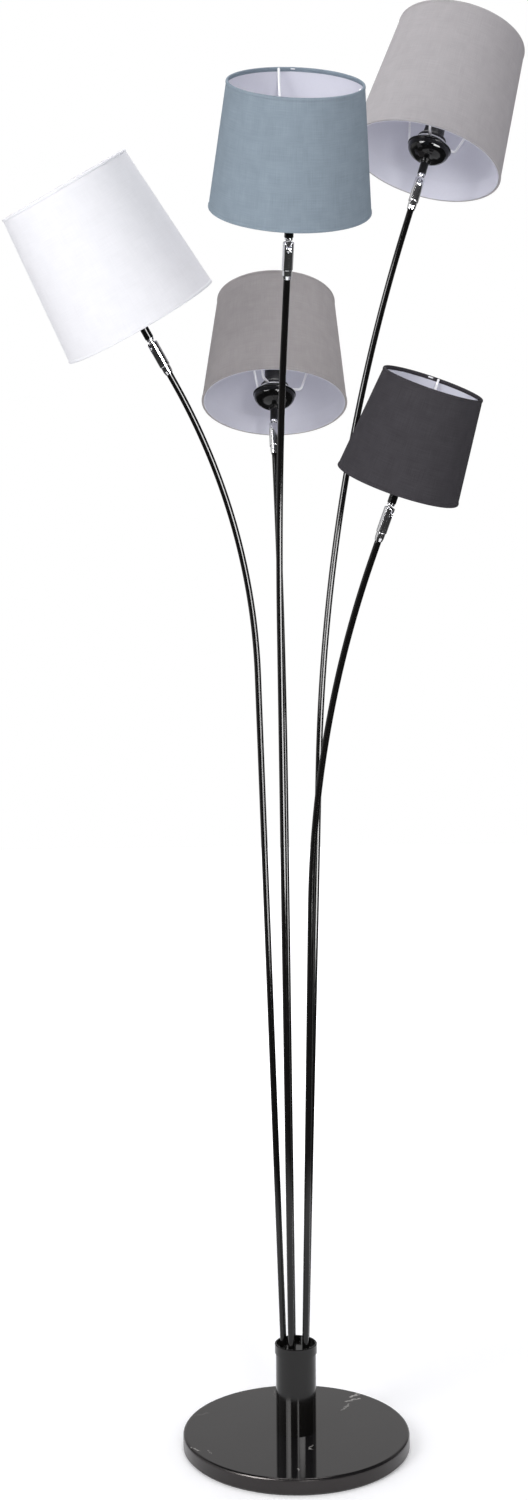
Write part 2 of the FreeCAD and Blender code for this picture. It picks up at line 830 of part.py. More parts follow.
def bent_wire(light, index, rings):
    """One wire: level from the fitter ring, up in an arc, and straight to the top hoop.

    Both of its ends are cut to fit against the rings."""
    (end_level, hoop_radius), _ = hoop_places(light)
    end_radius = f"({hoop_radius} - hoop_width / 2)"
    level = f"({CUP_HIGH} + wire_radius)"
    inner = "(fitter_radius - wire_radius)"
    rise = f"atan(({end_level} - {level}) / ({end_radius} - wire_reach))"
    leg = f"(wire_turn * tan({rise} / 2))"
    body = new_body(f"wire_{light}_{index}")
    spine = sketch_on(body, "XZ_Plane", "wire_line")
    draw(spine, [
        (inner, level),
        (f"wire_reach - {leg}", level, ("wire_turn", -1)),
        (f"wire_reach + {leg} * cos({rise})", f"{level} + {leg} * sin({rise})"),
        (end_radius, end_level),
    ], closed=False)
    section = sketch_on(body, "YZ_Plane", "wire_section", inner)
    corners = []
    for corner in range(HEAD["wire_faces"]):
        angle = 360 * (corner + 0.5) / HEAD["wire_faces"]
        corners.append((f"wire_radius * cos({angle})", f"{level} + wire_radius * sin({angle})"))
    draw(section, corners)
    pipe(body, section, spine, 3)
    fitted = cut(f"wire_{light}_{index}_fitted", body, rings)
    azimuth = measure(f"{light}_frame_turn + {index} * 360 / wire_count")
    turn = FreeCAD.Rotation(VECTOR(0, 0, 1), azimuth)
    fitted.Placement = FreeCAD.Placement(VECTOR(), turn)
    return fitted


def shade_frame(light):
    """White wires: the fitter ring, the bent wires, the top hoop and the bottom hoop."""
    (high, high_radius), (foot, low_radius) = hoop_places(light)
    fitter = turned_body(f"fitter_{light}", [
        (f"{HOLDER_HOLE} + seat_gap", CUP_HIGH),
        ("fitter_radius", CUP_HIGH),
        ("fitter_radius", FITTER_HIGH),
        (f"{HOLDER_HOLE} + seat_gap", FITTER_HIGH),
    ])
    top = turned_body(f"top_hoop_{light}", hoop_corners(light, high, high_radius))
    bottom = turned_body(f"hoop_{light}", hoop_corners(light, foot, low_radius))
    rings = DOC.addObject("Part::MultiFuse", f"rings_{light}")
    rings.Shapes = [fitter, top]
    wires = [bent_wire(light, index, rings) for index in range(HEAD["wire_count"])]
    group = DOC.addObject("Part::Compound", f"shade_frame_{light}")
    group.Links = [fitter, *wires, top, bottom]
    return group


def shade(light):
    """Tapered shade: fabric on its liner, with a folded hem round each hoop."""
    top, low, slope = shade_slope(light)
    foot = f"{light}_shade_drop"
    head = f"({foot} + {light}_shade_height)"
    hem = "hem_width"
    thick = "fabric_wall"
    fold = "hem_fold"
    return turned_body(f"shade_{light}", [
        (f"{low} - {thick} - {fold}", foot),
        (low, foot),
        (f"{top}", head),
        (f"{top} - {thick} - {fold}", head),
        (f"{top} - {slope} * {hem} - {thick} - {fold}", f"{head} - {hem}"),
        (f"{top} - {slope} * {hem} - {thick}", f"{head} - {hem}"),
        (f"{low} + {slope} * {hem} - {thick}", f"{foot} + {hem}"),
        (f"{low} + {slope} * {hem} - {thick} - {fold}", f"{foot} + {hem}"),
    ])


# ---------------------------------------------------------------- build and write


def stand_pieces():
    makers = (base_pad, base_disc, centre_rod, base_nut, base_washer, column_tube,
              column_cap, arm_plate, arm_nuts, terminal_block, cord_bush)
    return {maker.__name__: maker() for maker in makers}


def light_pieces(light):
    """All pieces of one light, each carried to its place on the arm."""
    pieces = {f"arm_{light}": arm(light), f"swivel_{light}": swivel(light)}
    end = ferrule(light)
    end.Placement = ball_place(light)
    pieces[f"ferrule_{light}"] = end
    for maker in (ball, cup, socket, shade_ring, shade_frame, shade):
        piece = maker(light)
        piece.Placement = head_place(light)
        pieces[f"{maker.__name__}_{light}"] = piece
    return pieces


def check(pieces):
    """Stop if any object failed to build or a piece has no sound solid."""
    for thing in DOC.Objects:
        if "Invalid" in thing.State or "Error" in thing.State:
            raise RuntimeError(f"{thing.Label} did not build: {thing.State}")
    for name, piece in pieces.items():
        shape = piece.Shape
        if shape.isNull() or not shape.isValid() or not shape.Solids:
            raise RuntimeError(f"{name} has no sound solid")


def main():
    os.makedirs("parts", exist_ok=True)
    pieces = stand_pieces()
    for light in LIGHTS:
        pieces.update(light_pieces(light))
    DOC.recompute()
    check(pieces)
    for name, piece in pieces.items():
        piece.Label = name
        piece.Shape.exportStep(f"parts/{name}.step")
    solids = sum(len(piece.Shape.Solids) for piece in pieces.values())
    volume = sum(piece.Shape.Volume for piece in pieces.values())
    print(f"{len(pieces)} nodes, {solids} solids, {volume / 1000:.0f} cubic centimetres")
    for light in LIGHTS:
        place = ball_place(light)
        along = head_place(light).Rotation.multVec(VECTOR(0, 0, 1))
        print(light, "ball at", [round(number, 1) for number in place.Base],
              "axis", [round(number, 4) for number in along])


main()
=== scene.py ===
# %% [markdown]
# # A tree floor lamp, dressed in Blender
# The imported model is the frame: it says where every piece is and how it moves. This lesson
# gives each piece its finish, and makes finer pieces where a plain solid is not enough.
# Everything is worked out in metres, around the places that the frame gives.

# %% Load the frame
import json
import math

import bmesh
import bpy
import numpy as np
from mathutils import Matrix


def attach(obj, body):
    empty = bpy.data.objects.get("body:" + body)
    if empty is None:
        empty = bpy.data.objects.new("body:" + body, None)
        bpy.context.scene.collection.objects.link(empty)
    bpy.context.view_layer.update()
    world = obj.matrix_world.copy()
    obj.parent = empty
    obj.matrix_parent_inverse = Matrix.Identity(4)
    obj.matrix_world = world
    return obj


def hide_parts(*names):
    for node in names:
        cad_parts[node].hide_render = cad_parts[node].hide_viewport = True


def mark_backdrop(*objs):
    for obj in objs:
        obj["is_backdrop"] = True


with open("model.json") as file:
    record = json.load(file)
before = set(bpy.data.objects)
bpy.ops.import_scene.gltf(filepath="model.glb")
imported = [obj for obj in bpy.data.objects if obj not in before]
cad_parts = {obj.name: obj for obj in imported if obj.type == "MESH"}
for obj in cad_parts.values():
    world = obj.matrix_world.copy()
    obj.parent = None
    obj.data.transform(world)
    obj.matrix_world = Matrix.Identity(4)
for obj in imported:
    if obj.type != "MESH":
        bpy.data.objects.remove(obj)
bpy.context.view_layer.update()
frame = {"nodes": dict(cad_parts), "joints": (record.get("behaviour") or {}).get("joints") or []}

MM = 0.001
LIGHTS = ("white", "blue", "taupe", "grey", "black")
NODES = frame["nodes"]
JOINTS = {joint["name"]: joint for joint in frame["joints"]}
scene = bpy.context.scene

# %% [markdown]
# ## Where the camera stands
# The picture is tall and narrow, seen from a little over two metres with a long lens. The
# height, the small turn to the right and the small roll were fitted to the disc, the column
# and the rims of the five shades. A camera looks along its own -Z, so its axes are written as
# the columns of a matrix: right, up and back.

# %% Camera
PICTURE_HEIGHT = 1500
FOCAL_PIXELS = 1894.2
SENSOR_WIDTH = 36.0  # Blender gives it to the picture's long side, which is the height here
CAMERA_PLACE = (-0.1438, -2.4503, 1.0780)
CAMERA_YAW, CAMERA_PITCH, CAMERA_ROLL = 0.0437, 0.062, -0.007


def camera_axes(yaw, pitch, roll):
    """Right, up and back: the level heading turned by yaw, tipped by pitch, then rolled."""
    right = np.array([math.cos(yaw), -math.sin(yaw), 0.0])
    level = np.array([math.sin(yaw), math.cos(yaw), 0.0])
    ahead = level * math.cos(pitch) - np.array([0.0, 0.0, math.sin(pitch)])
    up = np.cross(right, ahead)
    rolled_right = right * math.cos(roll) + up * math.sin(roll)
    rolled_up = up * math.cos(roll) - right * math.sin(roll)
    return rolled_right, rolled_up, -ahead


def as_matrix(values):
    """A numpy matrix as Blender's own, whose constructor takes rows."""
    return Matrix([[float(value) for value in row] for row in values])


def make_camera():
    data = bpy.data.cameras.new("camera")
    data.sensor_fit = "AUTO"
    data.sensor_width = SENSOR_WIDTH
    data.lens = FOCAL_PIXELS * SENSOR_WIDTH / PICTURE_HEIGHT
    data.clip_end = 60
    camera = bpy.data.objects.new("camera", data)
    scene.collection.objects.link(camera)
    turn = np.eye(4)
    turn[:3, :3] = np.column_stack(camera_axes(CAMERA_YAW, CAMERA_PITCH, CAMERA_ROLL))
    turn[:3, 3] = CAMERA_PLACE
    camera.matrix_world = as_matrix(turn)
    scene.camera = camera
    return camera


camera = make_camera()
print("lens", round(camera.data.lens, 1), "mm")

# %% [markdown]
# ## Building node trees in words
# A material is a graph. This small class adds a node, sets its named values and links its
# inputs in one line each, so that the recipes below read as recipes.

# %% Graph helper


class Graph:
    """A node tree that is built by short calls."""

    def __init__(self, tree):
        self.tree = tree

    def add(self, kind, values=None, **settings):
        """A node of that kind. values are numbers, colours or sockets for its inputs."""
        node = self.tree.nodes.new(kind)
        for name, value in settings.items():
            setattr(node, name, value)
        for name, value in (values or {}).items():
            self.feed(value, node.inputs[name])
        return node

    def feed(self, value, socket):
        if isinstance(value, bpy.types.NodeSocket):
            self.tree.links.new(value, socket)
        else:
            socket.default_value = value

    def math(self, operation, first, second=0.0, clamp=False):
        values = {0: first, 1: second}
        return self.add("ShaderNodeMath", values, operation=operation, use_clamp=clamp).outputs[0]

    def vector(self, operation, first, second=(0, 0, 0)):
        """Outputs of one step of vector arithmetic: its Vector, and its Value if it has one."""
        values = {0: first, "Scale" if operation == "SCALE" else 1: second}
        return self.add("ShaderNodeVectorMath", values, operation=operation).outputs

    def span(self, value, low, high, to_low=0.0, to_high=1.0, smooth=False):
        """value carried from low..high to to_low..to_high, and held at both ends."""
        node = self.add("ShaderNodeMapRange", {
            "Value": value, "From Min": low, "From Max": high,
            "To Min": to_low, "To Max": to_high})
        if smooth:
            node.interpolation_type = "SMOOTHSTEP"
        return node.outputs["Result"]

    def noise(self, vector, scale, detail=2.0, roughness=0.5):
        node = self.add("ShaderNodeTexNoise", {
            "Vector": vector, "Scale": scale, "Detail": detail, "Roughness": roughness})
        return node.outputs["Fac"]

    def stretch(self, vector, scale):
        """vector with each of its directions scaled by its own number."""
        return self.add("ShaderNodeMapping", {"Vector": vector, "Scale": scale}).outputs[0]

    def mix(self, factor, first, second):
        node = self.add("ShaderNodeMix", {0: factor, 6: first, 7: second}, data_type="RGBA")
        return node.outputs[2]

    def bump(self, height, distance, strength):
        node = self.add("ShaderNodeBump", {
            "Height": height, "Distance": distance, "Strength": strength})
        return node.outputs["Normal"]


def group(name, inputs, outputs):
    """A shader node group with named inputs and outputs, as (graph, input node, output node).

    inputs holds (name, kind, starting value) and outputs holds (name, kind)."""
    tree = bpy.data.node_groups.new(name, "ShaderNodeTree")
    for label, kind, value in inputs:
        socket = tree.interface.new_socket(label, in_out="INPUT", socket_type=kind)
        if value is not None:
            socket.default_value = value
    for label, kind in outputs:
        tree.interface.new_socket(label, in_out="OUTPUT", socket_type=kind)
    graph = Graph(tree)
    return graph, graph.add("NodeGroupInput").outputs, graph.add("NodeGroupOutput").inputs


FLOAT, VECTOR = "NodeSocketFloat", "NodeSocketVector"

# %% [markdown]
# ## The studio
# The object stands on a small pale floor in front of a pale backdrop. The floor's own glow for
# the camera grows with the distance and brings it to white, so only the shadow under the disc
# stays. Behind the camera the studio is dark, and that is what makes gloss paint look black:
# it mirrors the dark room, the softboxes as crisp lights, and the floor near its foot. For
# reflections the floor therefore ends a little beyond the disc. The walls are directions only,
# so they stay put in every view.

# %% Floor and world
FLOOR_SIZE = 14.0
FLOOR_FINISH = {"Base Color": (0.86, 0.86, 0.86, 1), "Roughness": 0.9,
                "Specular IOR Level": 0.1, "Emission Color": (1, 1, 1, 1)}
FLOOR_GLOW = 0.21
FLOOR_NEAR, FLOOR_FAR = 0.45, 1.9
MIRRORED_NEAR, MIRRORED_FAR = 0.9, 1.3
WALL_FILL = (0.55, 0.55, 0.58, 1.0)
DARK_ROOM = 0.035
CEILING_FROM, CEILING_TO = 0.55, 0.75
PIT_FROM, PIT_TO = -0.15, -0.35
# Wall brightness for reflections, by compass angle in degrees: 0 is +X and 90 is +Y.
WALL_BRIGHTNESS = (
    (0, 0.05), (20, 0.08), (28, 0.75), (36, 0.20), (50, 0.20), (56, 0.64), (124, 0.64),
    (130, 0.20), (142, 0.20), (150, 0.75), (172, 0.80), (196, 0.55), (204, 0.08),
    (262, DARK_ROOM), (268, 0.10), (276, 0.10), (282, DARK_ROOM), (344, DARK_ROOM), (360, 0.05),
)


def make_floor():
    """A level square under the lamp, white to the camera apart from the shadow on it."""
    half = FLOOR_SIZE / 2
    mesh = bpy.data.meshes.new("floor")
    corners = [(-half, -half, 0), (half, -half, 0), (half, half, 0), (-half, half, 0)]
    mesh.from_pydata(corners, [], [(0, 1, 2, 3)])
    floor = bpy.data.objects.new("floor", mesh)
    scene.collection.objects.link(floor)
    material = bpy.data.materials.new("studio_floor")
    material.use_nodes = True
    graph = Graph(material.node_tree)
    shader = material.node_tree.nodes["Principled BSDF"]
    for name, value in FLOOR_FINISH.items():
        shader.inputs[name].default_value = value
    path = graph.add("ShaderNodeLightPath").outputs
    place = graph.add("ShaderNodeTexCoord").outputs["Object"]
    away = graph.vector("LENGTH", place)["Value"]
    seen = graph.math("MAXIMUM", path["Is Camera Ray"], path["Is Glossy Ray"])
    glow = graph.span(away, FLOOR_NEAR, FLOOR_FAR, FLOOR_GLOW, 1.0, smooth=True)
    graph.feed(graph.math("MULTIPLY", seen, glow), shader.inputs["Emission Strength"])
    beyond = graph.span(away, MIRRORED_NEAR, MIRRORED_FAR, smooth=True)
    hidden = graph.math("MULTIPLY", path["Is Glossy Ray"], beyond)
    shown = graph.add("ShaderNodeMixShader", {
        0: hidden, 1: shader.outputs[0], 2: graph.add("ShaderNodeBsdfTransparent").outputs[0]})
    output = material.node_tree.nodes["Material Output"]
    graph.feed(shown.outputs[0], output.inputs["Surface"])
    mesh.materials.append(material)
    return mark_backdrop(floor)


def make_world():
    """White to the camera, banded walls to reflections and an even pale fill to the rest."""
    world = bpy.data.worlds.new("studio")
    world.use_nodes = True
    scene.world = world
    world.node_tree.nodes.clear()
    graph = Graph(world.node_tree)
    heading = graph.add("ShaderNodeTexCoord").outputs["Generated"]
    parts = graph.add("ShaderNodeSeparateXYZ", {0: heading}).outputs
    turn = graph.math("ARCTAN2", parts["Y"], parts["X"])
    turn = graph.math("DIVIDE", graph.math("ADD", turn, 2 * math.pi), 2 * math.pi)
    ramp = graph.add("ShaderNodeValToRGB", {0: graph.math("FRACT", turn)})
    first, last = WALL_BRIGHTNESS[0], WALL_BRIGHTNESS[-1]
    ramp.color_ramp.elements[0].color = (first[1],) * 3 + (1,)
    ramp.color_ramp.elements[1].color = (last[1],) * 3 + (1,)
    for angle, value in WALL_BRIGHTNESS[1:-1]:
        ramp.color_ramp.elements.new(angle / 360).color = (value,) * 3 + (1,)
    # Overhead the walls give way to the dark ceiling, and below the floor there is nothing.
    dark = (DARK_ROOM, DARK_ROOM, DARK_ROOM, 1)
    ceiling = graph.span(parts["Z"], CEILING_FROM, CEILING_TO, smooth=True)
    walls = graph.mix(ceiling, ramp.outputs[0], dark)
    walls = graph.mix(graph.span(parts["Z"], PIT_TO, PIT_FROM), dark, walls)
    path = graph.add("ShaderNodeLightPath").outputs
    lit = graph.mix(path["Is Glossy Ray"], WALL_FILL, walls)
    white = graph.math("MAXIMUM", path["Is Camera Ray"], path["Is Transmission Ray"])
    shown = graph.mix(white, lit, (1, 1, 1, 1))
    background = graph.add("ShaderNodeBackground", {"Color": shown, "Strength": 1.0})
    output = graph.add("ShaderNodeOutputWorld")
    graph.feed(background.outputs[0], output.inputs["Surface"])


make_floor()
make_world()
scene.view_settings.view_transform = "Standard"

# %% [markdown]
# Three softboxes do the rest. The large one at the left front gives the shades their lit side,
# the small one beside the camera fills them from the front, and a weak one overhead opens the
# tops of the shades. Two bright panels light nothing: only reflections see them, as a crisp
# line down the bent arms and as two windows in each cup. The left one also draws the line along
# the disc's edge, and the right one leaves the disc out, as a later cell explains.

# %% Softboxes
SOFTBOXES = {
    # name: place, what it faces, width, height, watts
    "key_box": ((-2.2, -2.3, 2.2), (0.0, 0.0, 1.3), 1.0, 1.7, 44),
    "side_box": ((0.45, -3.1, 1.5), (0.0, 0.0, 1.4), 0.45, 0.8, 22),
    "top_box": ((0.1, 0.7, 3.6), (0.0, 0.0, 1.4), 1.4, 1.4, 33),
    "left_panel": ((-2.3, -2.0, 2.3), (0.0, 0.0, 1.4), 1.7, 2.4, 210),
    "right_panel": ((1.55, -2.55, 0.85), (0.0, 0.0, 1.4), 1.9, 1.3, 210),
}


def make_softbox(name, place, target, width, height, watts):
    """A rectangular lamp at place whose face looks at target."""
    data = bpy.data.lights.new(name, "AREA")
    data.shape = "RECTANGLE"
    data.size, data.size_y, data.energy = width, height, watts
    lamp = bpy.data.objects.new(name, data)
    scene.collection.objects.link(lamp)
    back = np.array(place) - np.array(target)
    back /= np.linalg.norm(back)
    right = np.cross([0.0, 0.0, 1.0], back)
    right /= np.linalg.norm(right)
    matrix = np.eye(4)
    matrix[:3, :3] = np.column_stack([right, np.cross(back, right), back])
    matrix[:3, 3] = place
    lamp.matrix_world = as_matrix(matrix)
    return lamp


for name, values in SOFTBOXES.items():
    lamp = make_softbox(name, *values)
    lamp.visible_diffuse = not name.endswith("panel")
print(len(SOFTBOXES), "softboxes")

# %% [markdown]
# ## Surfaces from grids
# Every new piece is a surface over a grid of two parameters. The three helpers below are all
# that the shapes need: a line of corners whose corners become arcs, a grid of points that
# becomes a mesh, and the turning of a cross-section about an axis.

# %% Lines with rounded corners


def along(line, closed=False):
    """Distance from the line's start to each of its points."""
    ring = np.vstack([line, line[:1]]) if closed else line
    return np.concatenate([[0.0], np.cumsum(np.linalg.norm(np.diff(ring, axis=0), axis=1))])


def corner_arc(before, corner, after, radius, step):
    """Points of the arc that touches both runs at a corner, with a holding point beside it.

    The arc's centre lies on the corner's bisector, at radius / sin(half the angle)."""
    to_before, to_after = before - corner, after - corner
    reach = min(np.linalg.norm(to_before), np.linalg.norm(to_after))
    to_before = to_before / np.linalg.norm(to_before)
    to_after = to_after / np.linalg.norm(to_after)
    half = math.acos(max(-1.0, min(1.0, float(to_before @ to_after)))) / 2
    if radius <= 0 or half > math.radians(89):
        return corner[None, :]
    length = min(radius / math.tan(half), 0.44 * reach)
    radius = length * math.tan(half)
    bisector = to_before + to_after
    centre = corner + bisector / np.linalg.norm(bisector) * (radius / math.sin(half))
    first = corner + to_before * length - centre
    sweep = math.pi - 2 * half
    side = np.sign(first[0] * (corner - centre)[1] - first[1] * (corner - centre)[0])
    turns = np.linspace(0, side * sweep, max(2, math.ceil(math.degrees(sweep) / step) + 1))
    arc = centre + np.column_stack([
        first[0] * np.cos(turns) - first[1] * np.sin(turns),
        first[0] * np.sin(turns) + first[1] * np.cos(turns)])
    hold = min(0.15 * radius, 0.04 * reach)
    return np.vstack([
        corner + to_before * (length + hold), arc, corner + to_after * (length + hold)])


def rounded(corners, closed=True, step=18):
    """A line through (x, y, radius) corners, where each corner is an arc of its radius."""
    corners = np.array(corners, float)
    points, radii = corners[:, :2], corners[:, 2]
    runs = []
    for index, radius in enumerate(radii):
        ends = not closed and index in (0, len(radii) - 1)
        if ends:
            runs.append(points[index][None, :])
            continue
        after = points[(index + 1) % len(points)]
        runs.append(corner_arc(points[index - 1], points[index], after, radius, step))
    return np.vstack(runs)


def thick_line(line, thickness):
    """The closed outline of a line with a thickness: the line offset to its left and back
    along its right. The normal at a point is its mean direction turned by a right angle."""
    ahead = np.gradient(line, along(line), axis=0)
    ahead /= np.linalg.norm(ahead, axis=1)[:, None]
    normal = np.column_stack([-ahead[:, 1], ahead[:, 0]]) * thickness / 2
    return np.vstack([line + normal, (line - normal)[::-1]])


# %% Grids to meshes


def mesh_object(name, vertices, faces, uv=None, sharp=40.0):
    """A mesh object at the origin, smooth except over edges sharper than sharp degrees."""
    mesh = bpy.data.meshes.new(name)
    mesh.from_pydata(np.asarray(vertices, float).tolist(), [], np.asarray(faces).tolist())
    if uv is not None:
        layer = mesh.uv_layers.new(name="UVMap")
        layer.data.foreach_set("uv", np.asarray(uv, np.float32).ravel())
    mesh.update()
    piece = bpy.data.objects.new(name, mesh)
    scene.collection.objects.link(piece)
    mesh.polygons.foreach_set("use_smooth", np.ones(len(mesh.polygons), bool))
    if sharp:
        mesh.set_sharp_from_angle(angle=math.radians(sharp))
    return piece


def volume(vertices, quads):
    """Volume inside closed quads: a sixth of the triple product of each of their triangles."""
    a, b, c, d = (vertices[quads[:, index]] for index in range(4))
    first = np.einsum("ij,ij->i", a, np.cross(b, c))
    second = np.einsum("ij,ij->i", a, np.cross(c, d))
    return (first + second).sum() / 6


def grid_faces(rows, columns, close_rows, close_columns):
    """Quads between neighbours in a grid whose rows and columns may close on themselves."""
    row = np.arange(rows if close_rows else rows - 1)[:, None]
    column = np.arange(columns if close_columns else columns - 1)[None, :]
    next_row, next_column = (row + 1) % rows, (column + 1) % columns
    quads = np.stack([
        row * columns + column, row * columns + next_column,
        next_row * columns + next_column, next_row * columns + column], axis=-1)
    return quads.reshape(-1, 4), row, column


def surface(name, points, close_rows=True, lengths=None, sharp=40.0):
    """A surface over a grid of points (rows, columns, 3), its faces outwards. The columns always
    close on themselves, and the rows do unless the piece has two ends.

    lengths holds the distances along the rows and along the columns, which become its UV map
    in metres: U follows the rows' count and V the columns'."""
    rows, columns = points.shape[:2]
    quads, row, column = grid_faces(rows, columns, close_rows, True)
    uv = None
    if lengths is not None:
        u_line, v_line = lengths
        u_low, v_low = row + 0 * column, column + 0 * row
        corners = [(u_low, v_low), (u_low, v_low + 1), (u_low + 1, v_low + 1), (u_low + 1, v_low)]
        uv = np.stack([
            np.stack([u_line[u], v_line[v]], axis=-1) for u, v in corners], axis=-2)
        uv = uv.reshape(-1, 4, 2)
    vertices = points.reshape(-1, 3)
    if volume(vertices, quads) < 0:
        quads = quads[:, ::-1]
        uv = None if uv is None else uv[:, ::-1]
    return mesh_object(name, vertices, quads, uv, sharp)


def placed(points, place):
    """Points in millimetres in a light's own frame, carried to the lamp's frame in metres."""
    return points * MM @ place[:3, :3].T + place[:3, 3]


def ring_points(section, angles):
    """A section (radius, height) turned to each angle: (r cos a, r sin a, z)."""
    radius, height = section[:, 0], section[:, 1]
    across = np.cos(angles)[:, None] * radius
    back = np.sin(angles)[:, None] * radius
    return np.stack([across, back, np.broadcast_to(height, across.shape)], axis=-1)


def turned(name, section, place, segments=96, sharp=40.0):
    """A closed section turned all the way about the place's own axis."""
    angles = np.linspace(0, 2 * math.pi, segments, endpoint=False)
    points = placed(ring_points(section, angles), place)
    v_line = along(section, closed=True) * MM
    u_line = np.linspace(0, 2 * math.pi * section[:, 0].mean() * MM, segments + 1)
    return surface(name, points, lengths=(u_line, v_line), sharp=sharp)


WELD = 1e-6  # metres


def merged(piece, outwards=False):
    """The piece with doubled vertices joined, as at the closed end of a tube, and on request
    with its faces turned outwards."""
    work = bmesh.new()
    work.from_mesh(piece.data)
    bmesh.ops.remove_doubles(work, verts=work.verts, dist=WELD)
    bmesh.ops.dissolve_degenerate(work, edges=work.edges, dist=WELD / 10)
    if outwards:
        bmesh.ops.recalc_face_normals(work, faces=work.faces)
    work.to_mesh(piece.data)
    work.free()
    piece.data.update()
    return piece


# %% [markdown]
# ## Where each light sits
# The joints say it: the sleeve turns about one axis and the ball tilts about the other, and
# both pass through the ball's centre. A light drawn upright around its ball is carried there
# by one matrix. A tilt ends at a quarter turn, so where its range ends elsewhere, the light
# already leans in its sleeve at rest.

# %% Places of the lights


def frame_matrix(origin, across, back, up):
    matrix = np.eye(4)
    matrix[:3, :3] = np.column_stack([across, back, up])
    matrix[:3, 3] = origin
    return matrix


def sleeve_place(light):
    """The ball's centre, +Z along the sleeve and +X towards the slot."""
    turn, tilt = JOINTS[f"turn_{light}"], JOINTS[f"tilt_{light}"]
    up, back = np.array(turn["axis"], float), np.array(tilt["axis"], float)
    return frame_matrix(turn["pos_m"], np.cross(back, up), back, up)


def head_place(light):
    """The sleeve's place tipped towards the slot by the tilt that the light has at rest."""
    rest = math.radians(90 - JOINTS[f"tilt_{light}"]["range_deg"][1])
    tip = np.eye(4)
    tip[0, 0], tip[0, 2] = math.cos(rest), math.sin(rest)
    tip[2, 0], tip[2, 2] = -math.sin(rest), math.cos(rest)
    return sleeve_place(light) @ tip


def local_vertices(node, place):
    """A CAD node's vertices in a light's own frame, in millimetres."""
    mesh = NODES[node].data
    points = np.empty(len(mesh.vertices) * 3)
    mesh.vertices.foreach_get("co", points)
    return (points.reshape(-1, 3) - place[:3, 3]) @ place[:3, :3] / MM


def shade_size(light):
    """Outer radius at the bottom and at the top, and both heights, in millimetres."""
    points = local_vertices(f"shade_{light}", head_place(light))
    radius = np.hypot(points[:, 0], points[:, 1])
    low, high = points[:, 2].min(), points[:, 2].max()
    low_radius = radius[points[:, 2] < low + 0.1].max()
    return low_radius, radius[points[:, 2] > high - 0.1].max(), low, high


SHADES = {light: shade_size(light) for light in LIGHTS}
for light, size in SHADES.items():
    print(light, "shade: radii and heights", np.round(size, 1))

# %% [markdown]
# ## Finishes that several materials share
# Three effects come back again and again, so each is a node group: the weave of the shade
# cloth, the faint unevenness of a sprayed or plated coat, and the fine rubs that handling
# leaves. A group puts out only masks and heights, and each material sets its own values.

# %% Shared finish groups


def weave_group():
    """Cloth from its UV map in metres: two crossing sets of threads with thick slubs.

    A thread's height is the sine of its place times its pitch, and a slub is noise stretched
    along the thread."""
    graph, given, out = group("weave", [
        ("UV", VECTOR, None), ("Threads per metre", FLOAT, 1500.0), ("Slub", FLOAT, 0.5),
    ], [("Height", FLOAT), ("Tone", FLOAT)])
    parts = graph.add("ShaderNodeSeparateXYZ", {0: given["UV"]}).outputs
    turns = graph.math("MULTIPLY", given["Threads per metre"], math.pi)
    warp = graph.math("SINE", graph.math("MULTIPLY", parts["X"], turns))
    weft = graph.math("SINE", graph.math("MULTIPLY", parts["Y"], turns))
    crossing = graph.math("MULTIPLY", warp, weft)
    slub_up = graph.noise(graph.stretch(given["UV"], (1400, 38, 1)), 1.0, 3)
    slub_across = graph.noise(graph.stretch(given["UV"], (30, 1200, 1)), 1.0, 3)
    slubs = graph.math("ADD", slub_up, slub_across)
    uneven = graph.noise(graph.stretch(given["UV"], (60, 60, 1)), 1.0, 4)
    mixed = graph.math("MULTIPLY", slubs, given["Slub"])
    out_height = graph.math("ADD", graph.math("MULTIPLY", crossing, 0.35), mixed)
    graph.feed(out_height, out["Height"])
    threads = graph.math("MULTIPLY", slubs, 0.7)
    dye = graph.math("MULTIPLY", uneven, 0.6)
    graph.feed(graph.math("ADD", threads, dye), out["Tone"])
    return graph.tree


def coat_group():
    """Sprayed or plated coat: slow waves for the bump and patches for the roughness."""
    graph, given, out = group("coat", [
        ("Position", VECTOR, None), ("Wave size", FLOAT, 0.004), ("Patch size", FLOAT, 0.03),
    ], [("Waves", FLOAT), ("Patches", FLOAT)])
    wave = graph.math("DIVIDE", 1.0, given["Wave size"])
    patch = graph.math("DIVIDE", 1.0, given["Patch size"])
    graph.feed(graph.noise(given["Position"], wave, 1.5), out["Waves"])
    graph.feed(graph.noise(given["Position"], patch, 4.0, 0.6), out["Patches"])
    return graph.tree


def rub_group():
    """Rubs and hairlines: thin ridges of a noise that is stretched three ways at once."""
    graph, given, out = group("rubs", [
        ("Position", VECTOR, None), ("Fineness", FLOAT, 1.0),
    ], [("Lines", FLOAT), ("Smudges", FLOAT)])
    scaled = graph.vector("SCALE", given["Position"], given["Fineness"])["Vector"]
    lines = None
    for stretch in ((900, 60, 90), (70, 1000, 60), (80, 60, 800)):
        field = graph.noise(graph.stretch(scaled, stretch), 1.0, 2.0)
        ridge = graph.math("ABSOLUTE", graph.math("SUBTRACT", field, 0.5))
        thin = graph.span(ridge, 0.0, 0.012, 1.0, 0.0)
        lines = thin if lines is None else graph.math("MAXIMUM", lines, thin)
    graph.feed(lines, out["Lines"])
    graph.feed(graph.noise(graph.stretch(scaled, (35, 35, 35)), 1.0, 5.0, 0.65), out["Smudges"])
    return graph.tree


WEAVE, COAT, RUBS = weave_group(), coat_group(), rub_group()


def place_group(graph, tree, values):
    """A shared group placed in a material's graph, with values for its named inputs."""
    node = graph.add("ShaderNodeGroup", node_tree=tree)
    for name, value in values.items():
        graph.feed(value, node.inputs[name])
    return node.outputs


def new_material(name):
    """A material's graph, its Principled shader and the coordinates that its finish reads."""
    material = bpy.data.materials.new(name)
    material.use_nodes = True
    graph = Graph(material.node_tree)
    return material, graph, material.node_tree.nodes["Principled BSDF"]


